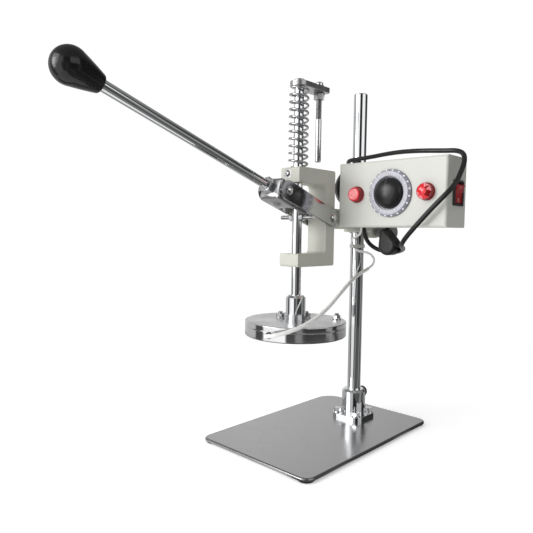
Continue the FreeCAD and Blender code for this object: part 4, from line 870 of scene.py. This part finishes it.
# ------------------------------------------------------------------ gland with its ribbed spout
gpf = [(0, 3.02), (0, 5.9), (8.0, 5.9), (8.0, 5.2), (13.0, 5.2)]
for k in range(12):
    d0 = 13.4 + k * 1.9
    r0 = 5.2 - 1.3 * (d0 - 13.0) / 24.0
    gpf += [(d0, r0), (d0 + 0.9, r0 - 0.05), (d0 + 1.05, r0 - 0.65), (d0 + 1.75, r0 - 0.7)]
gpf += [(36.3, 3.95), (37.0, 3.6), (37.0, 3.02), (0, 3.02)]
spout = lathe("gland_spout", gpf, (GX, -32.5, GZ), (0, 1, 0), 48, 30)
ghex = hexpiece("gland_hex", (GX, -24.5, GZ), (0, 1, 0), 14.0, 5.0, 0.0)
for o in (spout, ghex):
    o.data.materials.append(M["dark_plastic"])
gland = piece(join("gland", [spout, ghex]), "head", None, "cord_gland")

# ------------------------------------------------------------------ stage and light
bm = bmesh.new()
bmesh.ops.create_circle(bm, cap_ends=True, segments=96, radius=0.85)
me = bpy.data.meshes.new("floor")
bm.to_mesh(me)
bm.free()
floor = link("floor", me)
fm = bpy.data.materials.new("floor")
fm.use_nodes = True
fnt = fm.node_tree
fb = fnt.nodes["Principled BSDF"]
fb.inputs["Roughness"].default_value = 0.9
fb.inputs["Specular IOR Level"].default_value = 0.1
fb.inputs["Base Color"].default_value = (0.90, 0.90, 0.90, 1)
fb.inputs["Emission Color"].default_value = (1, 1, 1, 1)
fb.inputs["Emission Strength"].default_value = 0.43
# what polished metal sees of the floor: the foot of the screens round the object
fo = fnt.nodes["Material Output"]
fx = node(fnt, "ShaderNodeTexCoord")
fs = node(fnt, "ShaderNodeSeparateXYZ")
fnt.links.new(fx.outputs["Object"], fs.inputs[0])
fa = node(fnt, "ShaderNodeMath", operation="ARCTAN2")
fnt.links.new(fs.outputs["Y"], fa.inputs[0])
fnt.links.new(fs.outputs["X"], fa.inputs[1])
fr = node(fnt, "ShaderNodeMapRange")
fr.inputs["From Min"].default_value = -math.pi
fr.inputs["From Max"].default_value = math.pi
fnt.links.new(fa.outputs[0], fr.inputs["Value"])
fc = node(fnt, "ShaderNodeValToRGB")
fnt.links.new(fr.outputs[0], fc.inputs["Fac"])
FLOOR_RING = [(-180, 0.42), (-151, 0.42), (-147, 0.10), (-127, 0.10), (-123, 0.9), (-73, 0.9), (-69, 0.14), (-52, 0.14), (-47, 0.26), (-37, 0.24),
              (-31, 0.10), (20, 0.10), (25, 0.26), (38, 0.26), (42, 0.06), (52, 0.06), (57, 0.20), (95, 0.34), (125, 0.55), (179.9, 0.42)]
fe = fc.color_ramp.elements
while len(fe) > 1:
    fe.remove(fe[-1])
fe[0].position = 0.0
fe[0].color = (FLOOR_RING[0][1],) * 3 + (1,)
for d, v in FLOOR_RING[1:]:
    e = fe.new((d + 180.0) / 360.0)
    e.color = (v, v, v, 1)
fem = node(fnt, "ShaderNodeEmission")
fnt.links.new(fc.outputs["Color"], fem.inputs["Color"])
flp = node(fnt, "ShaderNodeLightPath")
fmx = node(fnt, "ShaderNodeMixShader")
fnt.links.new(flp.outputs["Is Glossy Ray"], fmx.inputs[0])
fnt.links.new(fb.outputs[0], fmx.inputs[1])
fnt.links.new(fem.outputs[0], fmx.inputs[2])
fnt.links.new(fmx.outputs[0], fo.inputs["Surface"])
floor.location = P(0, -60, -7.0)
floor.data.materials.append(fm)

# The studio: plain white to the lens, and soft black and white screens round the object that its polished
# metal mirrors. The screens stand on the floor line and fade into a white ceiling.
world = bpy.data.worlds.new("studio")
bpy.context.scene.world = world
world.use_nodes = True
wt = world.node_tree
wt.nodes.clear()
WL = wt.links.new
wo = node(wt, "ShaderNodeOutputWorld")
tc = node(wt, "ShaderNodeTexCoord")
sx = node(wt, "ShaderNodeSeparateXYZ")
WL(tc.outputs["Generated"], sx.inputs[0])
at = node(wt, "ShaderNodeMath", operation="ARCTAN2")
WL(sx.outputs["Y"], at.inputs[0])
WL(sx.outputs["X"], at.inputs[1])
mr = node(wt, "ShaderNodeMapRange")
mr.inputs["From Min"].default_value = -math.pi
mr.inputs["From Max"].default_value = math.pi
WL(at.outputs[0], mr.inputs["Value"])


def ring_ramp(bands):
    """brightness round the horizon, by direction in degrees from +X towards +Y"""
    cr = node(wt, "ShaderNodeValToRGB")
    cr.color_ramp.interpolation = "LINEAR"
    WL(mr.outputs[0], cr.inputs["Fac"])
    el = cr.color_ramp.elements
    while len(el) > 1:
        el.remove(el[-1])
    el[0].position = 0.0
    el[0].color = (bands[0][1],) * 3 + (1,)
    for d, v in bands[1:]:
        e = el.new((d + 180.0) / 360.0)
        e.color = (v, v, v, 1)
    return cr.outputs["Color"]


def ceiling(low, value, z0, z1):
    ez = node(wt, "ShaderNodeMapRange")
    ez.interpolation_type = "SMOOTHSTEP"
    ez.inputs["From Min"].default_value = z0
    ez.inputs["From Max"].default_value = z1
    WL(sx.outputs["Z"], ez.inputs["Value"])
    mx = node(wt, "ShaderNodeMix", data_type="RGBA")
    WL(ez.outputs[0], mx.inputs["Factor"])
    WL(low, mx.inputs["A"])
    mx.inputs["B"].default_value = (value, value, value, 1)
    return mx.outputs["Result"]


# seen below the lens's height, and seen above it
LOW = [(-180, 0.52), (-151, 0.55), (-147, 0.07), (-127, 0.07), (-123, 1.05), (-73, 1.2), (-69, 0.07), (-52, 0.07), (-47, 0.26), (-37, 0.24), (-31, 0.05),
       (20, 0.045), (25, 0.30), (38, 0.32), (42, 0.03), (52, 0.03), (57, 0.24), (95, 0.45), (125, 0.75), (179.9, 0.52)]
HIGH = [(-180, 0.50), (-130, 0.50), (-118, 0.34), (-113, 1.1), (-64, 1.2), (-59, 0.03), (-25, 0.03), (-20, 1.1), (28, 1.05), (33, 0.05), (100, 0.06),
        (112, 0.6), (135, 0.9), (179.9, 0.50)]
SOFT = [(-180, 0.75), (-120, 1.10), (-85, 1.05), (-55, 0.42), (-20, 0.10), (60, 0.07), (100, 0.45), (179.9, 0.75)]
lo_hi = node(wt, "ShaderNodeMapRange")
lo_hi.interpolation_type = "SMOOTHSTEP"
lo_hi.inputs["From Min"].default_value = 0.0
lo_hi.inputs["From Max"].default_value = 0.075
WL(sx.outputs["Z"], lo_hi.inputs["Value"])
lh_mix = node(wt, "ShaderNodeMix", data_type="RGBA")
WL(lo_hi.outputs[0], lh_mix.inputs["Factor"])
WL(ring_ramp(LOW), lh_mix.inputs["A"])
WL(ring_ramp(HIGH), lh_mix.inputs["B"])
bg_m = node(wt, "ShaderNodeBackground")
WL(ceiling(lh_mix.outputs["Result"], 0.24, 0.38, 0.70), bg_m.inputs["Color"])
bg_s = node(wt, "ShaderNodeBackground")
WL(ceiling(ring_ramp(SOFT), 0.42, 0.25, 0.9), bg_s.inputs["Color"])
bg_c = node(wt, "ShaderNodeBackground")
bg_c.inputs["Color"].default_value = (1.02, 1.02, 1.02, 1)
lp = node(wt, "ShaderNodeLightPath")
m1 = node(wt, "ShaderNodeMixShader")
WL(lp.outputs["Is Glossy Ray"], m1.inputs[0])
WL(bg_s.outputs[0], m1.inputs[1])
WL(bg_m.outputs[0], m1.inputs[2])
m2 = node(wt, "ShaderNodeMixShader")
WL(lp.outputs["Is Camera Ray"], m2.inputs[0])
WL(m1.outputs[0], m2.inputs[1])
WL(bg_c.outputs[0], m2.inputs[2])
WL(m2.outputs[0], wo.inputs[0])


def area(name, loc, target, size, power, size_y=None):
    d = bpy.data.lights.new(name, "AREA")
    d.shape = "RECTANGLE"
    d.size = size
    d.size_y = size_y or size
    d.energy = power
    o = bpy.data.objects.new(name, d)
    bpy.context.scene.collection.objects.link(o)
    o.location = loc
    o.rotation_euler = (Vector(target) - Vector(loc)).to_track_quat("-Z", "Y").to_euler()
    return o


area("key", (-0.80, -1.98, 1.15), (0, 0, 0.25), 1.5, 18.5)
top = area("top", (0.0, 0.1, 1.9), (0, 0, 0.1), 1.5, 6.4)
top.visible_glossy = False
window = area("window", (-0.86, -1.70, 0.62), (0, 0, 0.30), 0.62, 9.0, 1.1)
window.visible_diffuse = False
side = area("side", (-0.20, -0.66, 0.52), (-0.02, 0.10, 0.31), 0.22, 1.4)
side.visible_glossy = False
side.visible_camera = False

vs = bpy.context.scene.view_settings
vs.view_transform = "Standard"
vs.look = "None"
